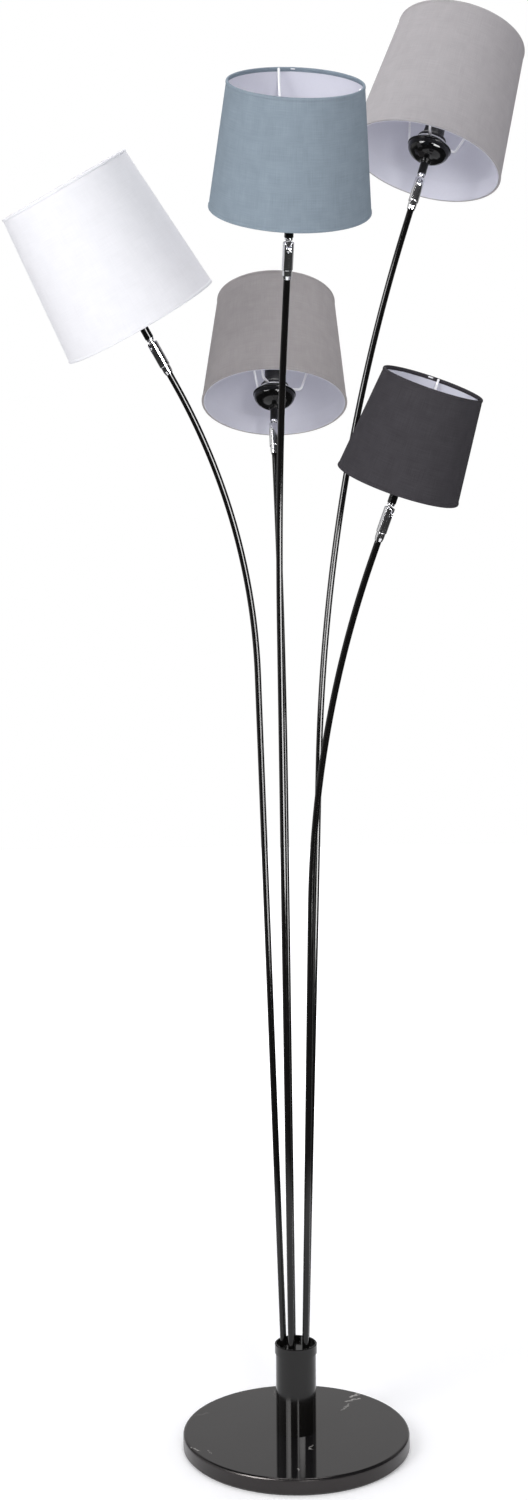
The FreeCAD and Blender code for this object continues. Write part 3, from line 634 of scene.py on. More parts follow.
def object_position(graph):
    return graph.add("ShaderNodeTexCoord").outputs["Object"]


print("groups:", WEAVE.name, COAT.name, RUBS.name)

# %% [markdown]
# ## Cloth and liner
# A shade is cloth glued on a stiff white liner. The cloth's colour is never even: thick threads
# and small differences in the dye show as faint bars both ways. Cloth mirrors next to nothing.
# It reads the UV map, which follows the surface in metres.

# %% Cloth and liner materials
CLOTH_COLOURS = {
    # name: cloth colour, and how far its threads differ
    "white": ((0.80, 0.80, 0.82), 0.03),
    "blue": ((0.228, 0.278, 0.322), 0.10),
    "taupe": ((0.385, 0.361, 0.357), 0.08),
    "grey": ((0.405, 0.386, 0.392), 0.07),
    "black": ((0.046, 0.043, 0.048), 0.16),
}
THREADS_PER_METRE = 1350.0
WEAVE_DEPTH, WEAVE_STRENGTH = 0.00012, 0.55


def scaled_colour(colour, factor):
    return tuple(channel * factor for channel in colour) + (1.0,)


def cloth_material(light):
    colour, spread = CLOTH_COLOURS[light]
    material, graph, shader = new_material(f"shade_cloth_{light}")
    uv = graph.add("ShaderNodeTexCoord").outputs["UV"]
    weave = place_group(graph, WEAVE, {"UV": uv, "Threads per metre": THREADS_PER_METRE})
    tone = graph.span(weave["Tone"], 0.75, 1.25)
    dark, pale = scaled_colour(colour, 1 - spread), scaled_colour(colour, 1 + spread)
    graph.feed(graph.mix(tone, dark, pale), shader.inputs["Base Color"])
    graph.feed(graph.span(weave["Tone"], 0.6, 1.4, 0.78, 0.9), shader.inputs["Roughness"])
    graph.feed(graph.bump(weave["Height"], WEAVE_DEPTH, WEAVE_STRENGTH), shader.inputs["Normal"])
    shader.inputs["Specular IOR Level"].default_value = 0.04
    return material


def liner_material():
    """White stiff liner: satin, with the faint mottling of pressed fibre. Its base colour is a
    lavender grey well below white, which is painted shade of the inside.
    """
    material, graph, shader = new_material("shade_liner_white")
    position = object_position(graph)
    fibre = graph.noise(position, 420.0, 4.0, 0.6)
    mottle = graph.noise(position, 45.0, 3.0)
    tone = graph.math("MULTIPLY", graph.math("ADD", fibre, mottle), 0.5)
    # painted shade: lavender grey in place of the liner's white, for the shaded inside of the
    # shade
    shade = graph.mix(tone, (0.64, 0.64, 0.71, 1), (0.72, 0.72, 0.79, 1))
    graph.feed(shade, shader.inputs["Base Color"])
    graph.feed(graph.span(mottle, 0.3, 0.7, 0.46, 0.58), shader.inputs["Roughness"])
    graph.feed(graph.bump(fibre, 0.00004, 0.5), shader.inputs["Normal"])
    shader.inputs["Specular IOR Level"].default_value = 0.05
    return material


CLOTHS = {light: cloth_material(light) for light in LIGHTS}
LINER = liner_material()
print(len(CLOTHS), "cloths and a liner")

# %% [markdown]
# ## Paint, plating, plastic and stone
# The tubes, the column and the cups wear the same black gloss paint. Its black is deep, so what
# shows is the coat: clear, with the slight orange-peel waves of spraying and a few dust specks.
# Chrome is a mirror whose plating follows the buffed brass below it. The stone is polished
# black marble with a few white veins, and they lie in the places that the lamp shows.

# %% Metal, plastic and stone materials


def coated(name, tone, rough, bump, marks=(0.004, 1.0, 0.0), own=()):
    """The one recipe that paint, plating, bare metal and plastic share.

    tone, rough and bump each start with the mark that they follow: Waves or Patches of the
    coat, or Lines or Smudges of the rubs. marks holds the waves' size, the rubs' fineness and
    how much a line roughens, and own the shader's own plain values."""
    material, graph, shader = new_material(name)
    position = object_position(graph)
    wave, fineness, worn = marks
    found = {}
    for tree, values in ((COAT, {"Wave size": wave}), (RUBS, {"Fineness": fineness})):
        for socket in place_group(graph, tree, {"Position": position, **values}):
            found[socket.name] = socket
    mark, dark, pale = tone
    graph.feed(graph.mix(found[mark], dark, pale), shader.inputs["Base Color"])
    mark, *ends = rough
    spread = graph.span(found[mark], *ends)
    if worn:
        spread = graph.math("ADD", spread, graph.math("MULTIPLY", found["Lines"], worn))
    graph.feed(spread, shader.inputs["Roughness"])
    mark, distance, strength = bump
    graph.feed(graph.bump(found[mark], distance, strength), shader.inputs["Normal"])
    for label, value in own:
        shader.inputs[label].default_value = value
    return material


def toned(mark, colour, dark, pale):
    return mark, scaled_colour(colour, dark), scaled_colour(colour, pale)


def gloss_paint(name, colour, rough, wave=0.004, peel=0.00003, shine=0.35):
    """Sprayed gloss: orange-peel waves under a clear coat."""
    return coated(
        name, toned("Patches", colour, 0.85, 1.2),
        ("Patches", 0.3, 0.7, rough * 0.8, rough * 1.3), ("Waves", peel, 0.6),
        (wave, 1.0, 0.02), [("Specular IOR Level", shine)])


def plain_metal(name, colour, rough):
    """Zinc-plated or nickel-plated steel: spangled tone and short rolling lines."""
    return coated(
        name, toned("Smudges", colour, 0.8, 1.1),
        ("Smudges", 0.3, 0.7, rough * 0.8, rough * 1.25), ("Lines", 0.00001, 0.4),
        own=[("Metallic", 1.0)])


def plastic(name, colour, rough, grain=0.00003, size=0.0006):
    """Moulded plastic: one colour with flow marks and a fine grain from the mould."""
    return coated(
        name, toned("Patches", colour, 0.9, 1.1),
        ("Patches", 0.3, 0.7, rough * 0.85, rough * 1.15), ("Waves", grain, 0.5),
        (size, 1.0, 0.0), [("Specular IOR Level", 0.45)])


DISC_RADIUS, DISC_TOP = 150.0, 22.0
DISC_HONED_FROM, DISC_HONED = 147.0, 0.24
VEIN_WANDER = 0.009
# Veins on the disc's top: both ends from its centre, half the width, all in millimetres, and
# how white the vein is.
VEINS = (
    ((82, 102), (99, 115), 3.6, 1.0), ((75, 86), (92, 95), 3.4, 0.9),
    ((66, 58), (77, 77), 2.2, 0.6), ((-141, -47), (-128, -60), 1.6, 0.9),
    ((-118, -59), (-113, -68), 1.5, 0.4), ((12.5, -60), (18.5, -50), 1.5, 1.0),
    ((12.5, -60), (16.5, -63), 1.4, 0.9), ((-6, -121), (-4, -125), 1.5, 0.6),
    ((-135, 50), (-115, 61), 0.9, 0.25), ((-24, 133), (-22, 106), 1.0, 0.2),
)


def vein_group():
    """How near a point is to the run between two ends, as 1 on the run and 0 past its width.

    The nearest place on the run is start + run * clamp((point - start) . run / run . run)."""
    graph, given, out = group("vein", [
        ("Position", VECTOR, None), ("Start", VECTOR, None), ("End", VECTOR, None),
        ("Width", FLOAT, 0.001),
    ], [("Mask", FLOAT)])
    run = graph.vector("SUBTRACT", given["End"], given["Start"])["Vector"]
    across = graph.vector("SUBTRACT", given["Position"], given["Start"])["Vector"]
    ahead = graph.vector("DOT_PRODUCT", across, run)["Value"]
    length = graph.vector("DOT_PRODUCT", run, run)["Value"]
    share = graph.math("DIVIDE", ahead, length, clamp=True)
    nearest = graph.vector("SCALE", run, share)["Vector"]
    gap = graph.vector("DISTANCE", across, nearest)["Value"]
    inside = graph.math("SUBTRACT", 1.0, graph.math("DIVIDE", gap, given["Width"]), clamp=True)
    graph.feed(inside, out["Mask"])
    return graph.tree


def stone_material():
    """Black marble: a few white veins along short runs, bent and broken up by noise.

    The top is polished, and the side is only honed, so its reflections are wide and soft."""
    material, graph, shader = new_material("polished_marble")
    position = object_position(graph)
    warp = graph.add("ShaderNodeTexNoise", {"Vector": position, "Scale": 150.0, "Detail": 4.0})
    centred = graph.vector("SUBTRACT", warp.outputs["Color"], (0.5, 0.5, 0.5))["Vector"]
    shift = graph.vector("SCALE", centred, VEIN_WANDER)["Vector"]
    bent = graph.vector("ADD", position, shift)["Vector"]
    tree, strength = vein_group(), None
    for start, end, width, whiteness in VEINS:
        ends = [(point[0] * MM, point[1] * MM, DISC_TOP * MM) for point in (start, end)]
        mask = place_group(graph, tree, {
            "Position": bent, "Start": ends[0], "End": ends[1], "Width": width * MM})["Mask"]
        one = graph.math("MULTIPLY", mask, whiteness)
        strength = one if strength is None else graph.math("MAXIMUM", strength, one)
    broken = graph.span(graph.noise(position, 300.0, 3.0), 0.32, 0.5)
    strength = graph.math("MULTIPLY", strength, broken)
    cloud = graph.noise(position, 22.0, 5.0, 0.6)
    body = graph.mix(cloud, (0.0045, 0.0042, 0.0045, 1), (0.012, 0.0115, 0.012, 1))
    graph.feed(graph.mix(strength, body, (0.55, 0.53, 0.50, 1)), shader.inputs["Base Color"])
    rubs = place_group(graph, RUBS, {"Position": position})
    haze = graph.span(rubs["Smudges"], 0.35, 0.75, 0.035, 0.075)
    level = graph.vector("MULTIPLY", position, (1.0, 1.0, 0.0))["Vector"]
    out = graph.vector("LENGTH", level)["Value"]
    honed = graph.span(out, DISC_HONED_FROM * MM, DISC_RADIUS * MM, 0.0, DISC_HONED, smooth=True)
    graph.feed(graph.math("ADD", haze, honed), shader.inputs["Roughness"])
    polish = graph.noise(position, 260.0, 2.0)
    graph.feed(graph.bump(polish, 0.00001, 0.4), shader.inputs["Normal"])
    shader.inputs["IOR"].default_value = 1.5
    shader.inputs["Specular Tint"].default_value = (1.0, 0.92, 0.90, 1)
    return material


PAINT = gloss_paint("black_gloss_paint", (0.0065, 0.006, 0.0057), 0.10)
TUBE_PAINT = gloss_paint("black_tube_paint", (0.0045, 0.0042, 0.004), 0.09, 0.02, 0.00002)
CUP_PAINT = gloss_paint("black_cup_paint", (0.004, 0.004, 0.004), 0.06, 0.012, 0.00002)
WIRE_PAINT = gloss_paint("white_wire_coat", (0.93, 0.93, 0.94), 0.32, 0.0016, 0.00006)
CHROME = coated(
    "plated_chrome", ("Patches", (0.72, 0.72, 0.74, 1), (0.80, 0.80, 0.81, 1)),
    ("Smudges", 0.35, 0.75, 0.05, 0.12), ("Waves", 0.00002, 0.5), (0.006, 2.0, 0.12),
    [("Metallic", 1.0)])
STEEL = plain_metal("zinc_plated_steel", (0.55, 0.56, 0.58), 0.34)
NICKEL = plain_metal("nickel_shell", (0.62, 0.58, 0.50), 0.28)
HOLDER = plastic("black_holder_plastic", (0.014, 0.014, 0.014), 0.36)
RING = plastic("black_ring_plastic", (0.016, 0.016, 0.016), 0.30)
CONNECTOR = plastic("connector_plastic", (0.72, 0.70, 0.62), 0.45)
BUSH = plastic("bush_plastic", (0.016, 0.016, 0.016), 0.5)
PAD = plastic("foam_pad", (0.022, 0.022, 0.022), 0.85, 0.0002, 0.0009)
STONE = stone_material()
print("materials:", len(bpy.data.materials))

# %% [markdown]
# ## The pieces that the frame already shapes well
# Ferrules and most parts of the stand are already right in the frame, so they only take their
# finish. One table says which, and the loop puts the material in the node's own slot.

# %% Finishes for the frame's own nodes
NODE_FINISH = {
    "base_pad": PAD, "centre_rod": STEEL, "base_washer": STEEL,
    "base_nut": STEEL, "column_tube": PAINT, "column_cap": PAINT, "arm_plate": STEEL,
    "arm_nuts": STEEL, "terminal_block": CONNECTOR, "cord_bush": BUSH,
}


def finish_node(node, material):
    """The node's own material slot takes the finish; its mesh is left alone."""
    NODES[node].data.materials.clear()
    NODES[node].data.materials.append(material)


for node, material in NODE_FINISH.items():
    finish_node(node, material)
for light in LIGHTS:
    finish_node(f"ferrule_{light}", CHROME)


def dress(piece, material, body, slot, *nodes):
    """Give a new piece its finish and its body, and hide the frame's nodes that it stands for. The
    slot is not used.
    """
    piece.data.materials.append(material)
    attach(piece, body)
    if nodes:
        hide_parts(*nodes)
    return piece


# %% [markdown]
# ## The shades
# The cloth's cross-section is one line: up the outside, round the wire at each end and a few
# millimetres back down the inside, where it is glued. Giving that line the cloth's thickness
# and turning it about the axis makes the whole piece. A real shade has one upright seam where
# the sheet overlaps, so the cloth is a little proud there, at the back. Slow waves of a tenth
# of a millimetre keep its outline from looking machined. The liner is lapped over the lower
# roll on the inside, so the lower edge seen end-on is half cloth and half white.

# %% Shade cloth and liner
CLOTH_THICKNESS = 0.45
ROLL_PROUD = 0.35
ROLL_DEPTH = 2.5
ROLL_HEIGHT = 3.0
FLAP_LENGTH = 5.0
LINER_START, LINER_END = 0.55, 1.05
LAP_START, LAP_END = 2.42, 3.4
LAP_HEIGHT, LAP_FADE = 3.3, 22.0
SEAM_WIDTH = 9.0
SEAM_RISE = 0.45
SHADE_SEGMENTS = 240


def wall_line(size):
    """The cloth's path as (depth into the wall, height): flap, roll, wall, roll, flap."""
    _, _, low, high = size
    inner = ROLL_DEPTH - ROLL_PROUD
    half = CLOTH_THICKNESS / 2

    def end(edge, way):
        """Corners of one rolled end, from the flap inside to the wall outside."""
        return [
            (LINER_END + half + 0.05, edge + way * FLAP_LENGTH, 0.0),
            (LINER_END + half + 0.15, edge + way * (ROLL_HEIGHT + 0.9), 0.8),
            (inner, edge + way * (ROLL_HEIGHT - 0.4), 0.8),
            (inner, edge + way * half, 1.1),
            (-ROLL_PROUD, edge + way * half, 1.1),
            (-ROLL_PROUD, edge + way * (ROLL_HEIGHT - 0.3), 0.7),
            (half, edge + way * (ROLL_HEIGHT + 0.6), 0.7),
        ]

    return rounded(end(low, 1) + end(high, -1)[::-1], closed=False, step=22)


def shade_points(size, section, place, seam):
    """Grid of a shade's section (depth, height) turned about the axis.

    The radius is that of the cone at the height, less the depth, plus slow waves, plus the
    seam's rise over its width at the back."""
    low_radius, high_radius, low, high = size
    angles = np.linspace(0, 2 * math.pi, SHADE_SEGMENTS, endpoint=False)
    share = (section[:, 1] - low) / (high - low)
    cone = low_radius + (high_radius - low_radius) * share - section[:, 0]
    waves = 0.10 * np.sin(3 * angles + 0.7) + 0.07 * np.sin(7 * angles + 2.1)
    back = math.atan2(place[1, 1], place[1, 0])
    off = np.abs((angles - back + math.pi) % (2 * math.pi) - math.pi) * low_radius
    rise = seam * np.clip((SEAM_WIDTH / 2 - off) / 1.2 + 0.5, 0, 1)
    radius = cone[None, :] + waves[:, None] + rise[:, None]
    across, behind = np.cos(angles)[:, None] * radius, np.sin(angles)[:, None] * radius
    height = np.broadcast_to(section[:, 1], radius.shape)
    return placed(np.stack([across, behind, height], axis=-1), place)


def shade_piece(name, light, section, seam):
    size, place = SHADES[light], head_place(light)
    points = shade_points(size, section, place, seam)
    mean = (size[0] + size[1]) / 2 * MM
    lengths = (np.linspace(0, 2 * math.pi * mean, SHADE_SEGMENTS + 1),
               along(section, closed=True) * MM)
    return surface(name, points, lengths=lengths, sharp=50.0)


def make_shade(light):
    size = SHADES[light]
    line = wall_line(size)
    section = thick_line(line, CLOTH_THICKNESS)
    cloth = shade_piece(f"shade_cloth_{light}", light, section, SEAM_RISE)
    dress(cloth, CLOTHS[light], f"head_{light}", f"fabric_{light}", f"shade_{light}")
    low, high = size[2] + 0.15, size[3] - ROLL_HEIGHT + 0.6
    lapped = rounded([
        (LAP_START, low, 0.3), (LAP_START, low + LAP_HEIGHT, 0.8),
        (LINER_START, low + LAP_FADE, 4.0), (LINER_START, high, 0.1), (LINER_END, high, 0.1),
        (LINER_END, low + LAP_FADE + 4, 4.0), (LAP_END, low + LAP_HEIGHT, 0.8),
        (LAP_END, low, 0.3)], step=22)
    liner = shade_piece(f"shade_liner_{light}", light, lapped, 0.0)
    dress(liner, LINER, f"head_{light}", f"fabric_{light}")
    return cloth, liner


for light in LIGHTS:
    cloth, liner = make_shade(light)
    print(cloth.name, len(cloth.data.polygons), "faces,", liner.name, len(liner.data.polygons))

# %% [markdown]
# ## The wire frames
# A pressed ring sits on the cup's crown. Three wires leave it level, turn up in a tight bend
# and run straight to the hoop in the top hem. A wire is a circle carried along a flat path:
# at each point the circle stands square to the path, between the path's own normal and the
# plane's. The ends close to a point, inside the ring and inside the hoop.

# %% Wire frame
WIRE_RADIUS = 1.6
WIRE_BEND = 6.0
WIRE_SIDES = 20
WIRE_COUNT = 3
WIRE_START, WIRE_LEVEL_END = 20.8, 36.0
FITTER_BORE, FITTER_RADIUS, FITTER_THICKNESS = 13.9, 20.4, 1.6
HOOP_RADIUS = 1.25
HOOP_INSET, HOOP_EDGE = 0.95, 1.75
CLEAR_OF_FITTER, CLEAR_OF_HOOP = 24.0, 8.0


def tube(name, path, normal, radius, sides, place):
    """A round bar along a flat path (points, 3): the circle at a point is radius times
    (cos a * side + sin a * normal), where side is the path's direction crossed with normal.
    Both ends are rounded: the radius falls off as a quarter circle."""
    ends = np.sin(np.linspace(0, math.pi / 2, 5))
    ahead = np.gradient(path, along(path), axis=0)
    ahead /= np.linalg.norm(ahead, axis=1)[:, None]
    reach = radius * (1 - np.cos(np.linspace(0, math.pi / 2, 5)))[:, None]
    head = path[0] - ahead[0] * radius + ahead[0] * reach
    tail = path[-1] + ahead[-1] * radius - ahead[-1] * reach
    line = np.vstack([head[:-1], path, tail[:-1][::-1]])
    sizes = radius * np.concatenate([ends[:-1], np.ones(len(path)), ends[:-1][::-1]])
    heading = np.vstack([
        np.repeat(ahead[:1], 4, axis=0), ahead, np.repeat(ahead[-1:], 4, axis=0)])
    side = np.cross(heading, normal)
    side /= np.linalg.norm(side, axis=1)[:, None]
    angles = np.linspace(0, 2 * math.pi, sides, endpoint=False)
    ring = (np.cos(angles)[None, :, None] * side[:, None, :]
            + np.sin(angles)[None, :, None] * np.asarray(normal)[None, None, :])
    points = placed(line[:, None, :] + ring * sizes[:, None, None], place)
    return merged(surface(name, points, close_rows=False))


def joined(name, pieces):
    """Several meshes as one piece."""
    work = bmesh.new()
    for piece in pieces:
        work.from_mesh(piece.data)
    mesh = bpy.data.meshes.new(name)
    work.to_mesh(mesh)
    work.free()
    for piece in pieces:
        old = piece.data
        bpy.data.objects.remove(piece)
        bpy.data.meshes.remove(old)
    piece = bpy.data.objects.new(name, mesh)
    scene.collection.objects.link(piece)
    return piece


def fitter_levels(light):
    """Heights of the crown and of the fitter's top, read from the frame's own ring."""
    points = local_vertices(f"shade_ring_{light}", head_place(light))
    top = points[:, 2].min()
    return top - FITTER_THICKNESS, top


def wire_path(light):
    """The wire in its own upright plane, as (out from the axis, height) in millimetres."""
    _, high_radius, _, high = SHADES[light]
    crown, _ = fitter_levels(light)
    level = crown + WIRE_RADIUS
    hoop_height = high - 1.9
    hoop_radius = high_radius - 1.0 - HOOP_RADIUS
    return rounded([
        (WIRE_START, level, 0), (WIRE_LEVEL_END, level, WIRE_BEND),
        (hoop_radius - 1.0, hoop_height, 0)], closed=False, step=8)


def first_wire(light, place):
    """Where the frame's first wire lies. The node's wires repeat every third of a turn, so
    three times the angle of each of their points is the same, and its mean is what counts."""
    points = local_vertices(f"shade_frame_{light}", place)
    crown, _ = fitter_levels(light)
    below_hoop = points[:, 2] < SHADES[light][3] - CLEAR_OF_HOOP
    outside = np.hypot(points[:, 0], points[:, 1]) > CLEAR_OF_FITTER
    wires = points[(points[:, 2] > crown - 1) & below_hoop & outside]
    turns = WIRE_COUNT * np.arctan2(wires[:, 1], wires[:, 0])
    return math.atan2(np.sin(turns).mean(), np.cos(turns).mean()) / WIRE_COUNT


def make_frame(light):
    place = head_place(light)
    low_radius, high_radius, low, high = SHADES[light]
    crown, top = fitter_levels(light)
    pieces = []
    path, start = wire_path(light), first_wire(light, place)
    for index in range(WIRE_COUNT):
        angle = start + 2 * math.pi * index / WIRE_COUNT
        out = np.array([math.cos(angle), math.sin(angle), 0.0])
        across = np.array([-math.sin(angle), math.cos(angle), 0.0])
        line = path[:, :1] * out + path[:, 1:] * np.array([0.0, 0.0, 1.0])
        pieces.append(tube("wire", line, across, WIRE_RADIUS, WIRE_SIDES, place))
    foot, head = crown + 0.05, top - 0.05
    ring = rounded([
        (FITTER_BORE, foot, 0.3), (FITTER_RADIUS, foot, 0.3), (FITTER_RADIUS, head, 0.5),
        (FITTER_BORE, head, 0.5)])
    pieces.append(turned("fitter", ring, place, 72))
    for edge, height in ((high_radius, high - HOOP_EDGE), (low_radius, low + HOOP_EDGE)):
        circle = np.linspace(0, 2 * math.pi, 12, endpoint=False)
        hoop = np.column_stack([
            edge - HOOP_INSET + HOOP_RADIUS * 0.8 * np.cos(circle),
            height + HOOP_RADIUS * np.sin(circle)])
        pieces.append(turned("hoop", hoop, place, 120))
    whole = joined(f"wire_frame_{light}", pieces)
    dress(whole, WIRE_PAINT, f"head_{light}", "white_metal", f"shade_frame_{light}")
    return whole


for light in LIGHTS:
    print(make_frame(light).name)

# %% [markdown]
# ## The arms
# An arm is straight, then one arc, then straight again, and a long reflection shows every
# facet. The frame's own mesh has rings of points where the arm turns. The middles of the rings
# give both straight runs, and the arc that touches both is worked out from them.

# %% Arms
ARM_RADIUS = 4.2
ARM_STEPS = 72
ARM_SIDES = 48
RING_GAP = 3.0


def ring_middles(node):
    """Middles of the node's rings of points in millimetres, from the lowest to the highest."""
    points = local_vertices(node, np.eye(4))
    points = np.unique(points.round(2), axis=0)
    points = points[np.argsort(points[:, 2])]
    cuts = np.nonzero(np.diff(points[:, 2]) > RING_GAP)[0] + 1
    return np.array([ring.mean(axis=0) for ring in np.split(points, cuts)])


def arm_path(light):
    """Points of the arm's line and the normal of its plane.

    With the run's direction t, the side m that it bends to and the bend's radius r, the arc is
    start + r (sin a t + (1 - cos a) m)."""
    middles = ring_middles(f"arm_{light}")
    root, start, end, tip = middles[0], middles[1], middles[-2], middles[-1]
    run = (start - root) / np.linalg.norm(start - root)
    last = (tip - end) / np.linalg.norm(tip - end)
    side = last - run * (last @ run)
    side /= np.linalg.norm(side)
    bend = math.acos(float(run @ last))
    radius = np.linalg.norm(end - start) / (2 * math.sin(bend / 2))
    turns = np.linspace(0, bend, ARM_STEPS)[:, None]
    arc = start + radius * (np.sin(turns) * run + (1 - np.cos(turns)) * side)
    straight = root + run * np.linspace(ARM_RADIUS, np.linalg.norm(start - root) - 3, 24)[:, None]
    stub = end + last * np.linspace(1.5, np.linalg.norm(tip - end) - ARM_RADIUS, 4)[:, None]
    return np.vstack([straight, arc, stub]), np.cross(run, side), math.degrees(bend), radius


for light in LIGHTS:
    path, normal, bend, radius = arm_path(light)
    arm = tube(f"arm_tube_{light}", path, normal, ARM_RADIUS, ARM_SIDES, np.eye(4))
    dress(arm, TUBE_PAINT, "stand", "black_metal", f"arm_{light}")
    print(light, "arm bends by", round(bend, 1), "degrees over a radius of", round(radius), "mm")

# %% [markdown]
# ## The stone disc
# Polished stone shows a bright line along its edge, because the edge is rounded over by a
# couple of millimetres and so mirrors a light above it. The disc is turned once more with that
# edge in fine steps and a small bevel below.

# %% Disc
DISC = {"radius": DISC_RADIUS, "low": 2.0, "top": DISC_TOP, "edge": 3.8, "hole": 5.4,
        "recess": 27.0, "recess_top": 10.0}

outline = rounded([
    (DISC["hole"], DISC["recess_top"], 0.2), (DISC["recess"], DISC["recess_top"], 0.2),
    (DISC["recess"], DISC["low"], 0.3), (DISC["radius"] - 1.0, DISC["low"], 0.4),
    (DISC["radius"], DISC["low"] + 1.0, 0.4), (DISC["radius"], DISC["top"], DISC["edge"]),
    (DISC["hole"], DISC["top"], 0.2)], step=7)
disc = turned("disc_polished", outline, frame_matrix((0, 0, 0), *np.eye(3)), 360)
dress(disc, STONE, "stand", "stone", "base_disc")
print("disc:", len(disc.data.polygons), "faces")

# %% [markdown]
# The right panel is low, so from behind, the polished top would mirror it as one white patch.
# Light linking leaves the disc out of what that lamp lights, and keeps the line on the arms.

# %% Light linking


def leave_out(lamp, piece):
    """The lamp lights everything but this piece."""
    lit = bpy.data.collections.new(f"{lamp.name}_lights")
    lit.objects.link(piece)
    lit.collection_objects[0].light_linking.link_state = "EXCLUDE"
    lamp.light_linking.receiver_collection = lit


leave_out(bpy.data.objects["right_panel"], disc)

# %% [markdown]
# ## Cup, holder and ring
# The cup is spun from sheet: a narrow tube, a small nozzle, the bowl, a rolled bead where it is
# widest and a crown with one more step. The holder above it has a coarse thread on its outside
# for the ring, and a metal screw shell and a spring contact inside. The ring has grip ribs.

# %% Cup
CUP_WALL = 0.8


def cup_section(levels):
    """The cup's outline as (radius, height, corner radius) from the collar to the crown."""
    start, crown = levels
    bowl = crown - 26.2
    outside = [
        (5.5, start, 0.3), (5.5, bowl - 4.0, 0.8), (6.6, bowl - 3.0, 0.5), (7.3, bowl - 1.8, 0.9),
        (7.0, bowl - 0.2, 0.5), (9.5, bowl + 0.1, 1.5), (16.6, bowl + 1.9, 14.0),
        (23.0, bowl + 5.9, 14.0), (27.3, bowl + 11.8, 12.0), (28.3, bowl + 17.4, 0.6),
        (29.2, bowl + 18.2, 0.5), (29.2, bowl + 19.6, 0.5), (28.2, bowl + 20.3, 0.4),
        (26.0, bowl + 22.4, 5.0), (22.4, bowl + 24.0, 0.6), (21.6, bowl + 24.9, 0.5),
        (18.0, crown - 0.1, 1.5), (17.4, crown, 0.3), (14.0, crown, 0.2),
    ]
    inside = [
        (14.0, crown - CUP_WALL, 0.2), (20.8, crown - 1.7, 0.6), (27.0, bowl + 20.0, 1.0),
        (27.3, bowl + 17.5, 1.0), (26.4, bowl + 12.4, 8.0), (22.4, bowl + 6.9, 8.0),
        (16.2, bowl + 3.0, 8.0), (8.0, bowl + 1.4, 1.0), (4.3, bowl + 0.8, 0.2),
        (4.3, start, 0.2),
    ]
    return rounded(outside + inside, step=12)


def cup_levels(light):
    points = local_vertices(f"cup_{light}", head_place(light))
    return points[:, 2].min(), points[:, 2].max()


for light in LIGHTS:
    cup = turned(f"cup_spun_{light}", cup_section(cup_levels(light)), head_place(light), 128)
    dress(cup, CUP_PAINT, f"head_{light}", "black_metal", f"cup_{light}")
print("cups:", len(cup.data.polygons), "faces each")

# %% Holder with its thread and shell
THREAD_PITCH, THREAD_DEPTH = 2.6, 0.45
THREAD_RADIUS, THREAD_BACK, THREAD_LENGTH = 13.6, 12.6, 14
SCREW_PITCH, SCREW_DEPTH = 2.8, -0.5  # a shell's thread stands outwards, so its depth is negative
SCREW_OUTER, SCREW_INNER = 7.9, 7.4
HOLDER_SEGMENTS = 96


def thread_grid(core, low, high, depth, pitch, segments, rows):
    """A threaded wall: the radius falls by depth times a cosine of turns minus height.

    The phase is angle / 2 pi minus height / pitch, and the depth fades out at both ends."""
    angles = np.linspace(0, 2 * math.pi, segments, endpoint=False)[:, None]
    height = np.linspace(low, high, rows)[None, :]
    phase = angles / (2 * math.pi) - (height - low) / pitch
    fade = np.clip(np.minimum(height - low, high - height) / (pitch / 2), 0, 1)
    radius = core - depth * fade * (0.5 + 0.5 * np.cos(2 * math.pi * phase))
    return radius, np.broadcast_to(height, radius.shape), angles


def threaded_ring(name, outer, inner, place):
    """A closed ring from an outer wall and an inner wall, each (radius, height, angles)."""
    radius = np.hstack([outer[0], inner[0][:, ::-1]])
    height = np.hstack([outer[1], inner[1][:, ::-1]])
    angles = outer[2]
    points = np.stack([np.cos(angles) * radius, np.sin(angles) * radius, height], axis=-1)
    return surface(name, placed(points, place))


def plain_wall(radius, low, high, segments):
    """The same grid with no thread: two rows are enough."""
    return thread_grid(radius, low, high, 0.0, 1.0, segments, 2)


def make_holder(light):
    place = head_place(light)
    points = local_vertices(f"socket_{light}", place)
    foot, top = points[:, 2].min(), points[:, 2].max()
    _, ring_low = fitter_levels(light)
    start, end = ring_low + 0.2, ring_low + THREAD_LENGTH
    thread = threaded_ring(
        "thread",
        thread_grid(THREAD_RADIUS, start, end, THREAD_DEPTH, THREAD_PITCH, HOLDER_SEGMENTS, 60),
        plain_wall(THREAD_BACK, start, end, HOLDER_SEGMENTS), place)
    shell = rounded([
        (4.0, foot, 0.2), (13.3, foot, 0.8), (13.3, top - 9.0, 0.2), (13.6, top - 8.6, 0.2),
        (13.6, top, 0.7), (12.1, top, 0.5), (12.1, top - 18, 0.5), (9.0, top - 19, 0.5),
        (9.0, foot + 3.0, 0.3), (4.0, foot + 3.0, 0.2)])
    body = joined(f"holder_{light}", [thread, turned("shell", shell, place, HOLDER_SEGMENTS)])
    dress(body, HOLDER, f"head_{light}", "black_plastic", f"socket_{light}")
    low, high = foot + 4.0, top - 20.0
    walls = [
        thread_grid(radius, low, high, SCREW_DEPTH, SCREW_PITCH, HOLDER_SEGMENTS, 64)
        for radius in (SCREW_OUTER, SCREW_INNER)]
    screw = threaded_ring(f"screw_shell_{light}", *walls, place)
    dress(screw, NICKEL, f"head_{light}", "chrome")
    tongue = rounded([(2.4, foot + 3.2, 0.2), (3.6, foot + 3.2, 0.2), (3.6, foot + 5.4, 0.6),
                      (2.4, foot + 5.0, 0.3)])
    contact = turned(f"contact_{light}", tongue, place, 32)
    dress(contact, NICKEL, f"head_{light}", "chrome")
    return body


for light in LIGHTS:
    holder = make_holder(light)
print("holders:", len(holder.data.polygons), "faces each")

# %% Ring with grip ribs
RING_BORE, RING_RADIUS, RING_HEIGHT = 14.0, 19.0, 6.0
RING_RIBS = 36
RIB_DEPTH, RIB_FOOT = 0.5, 17.0


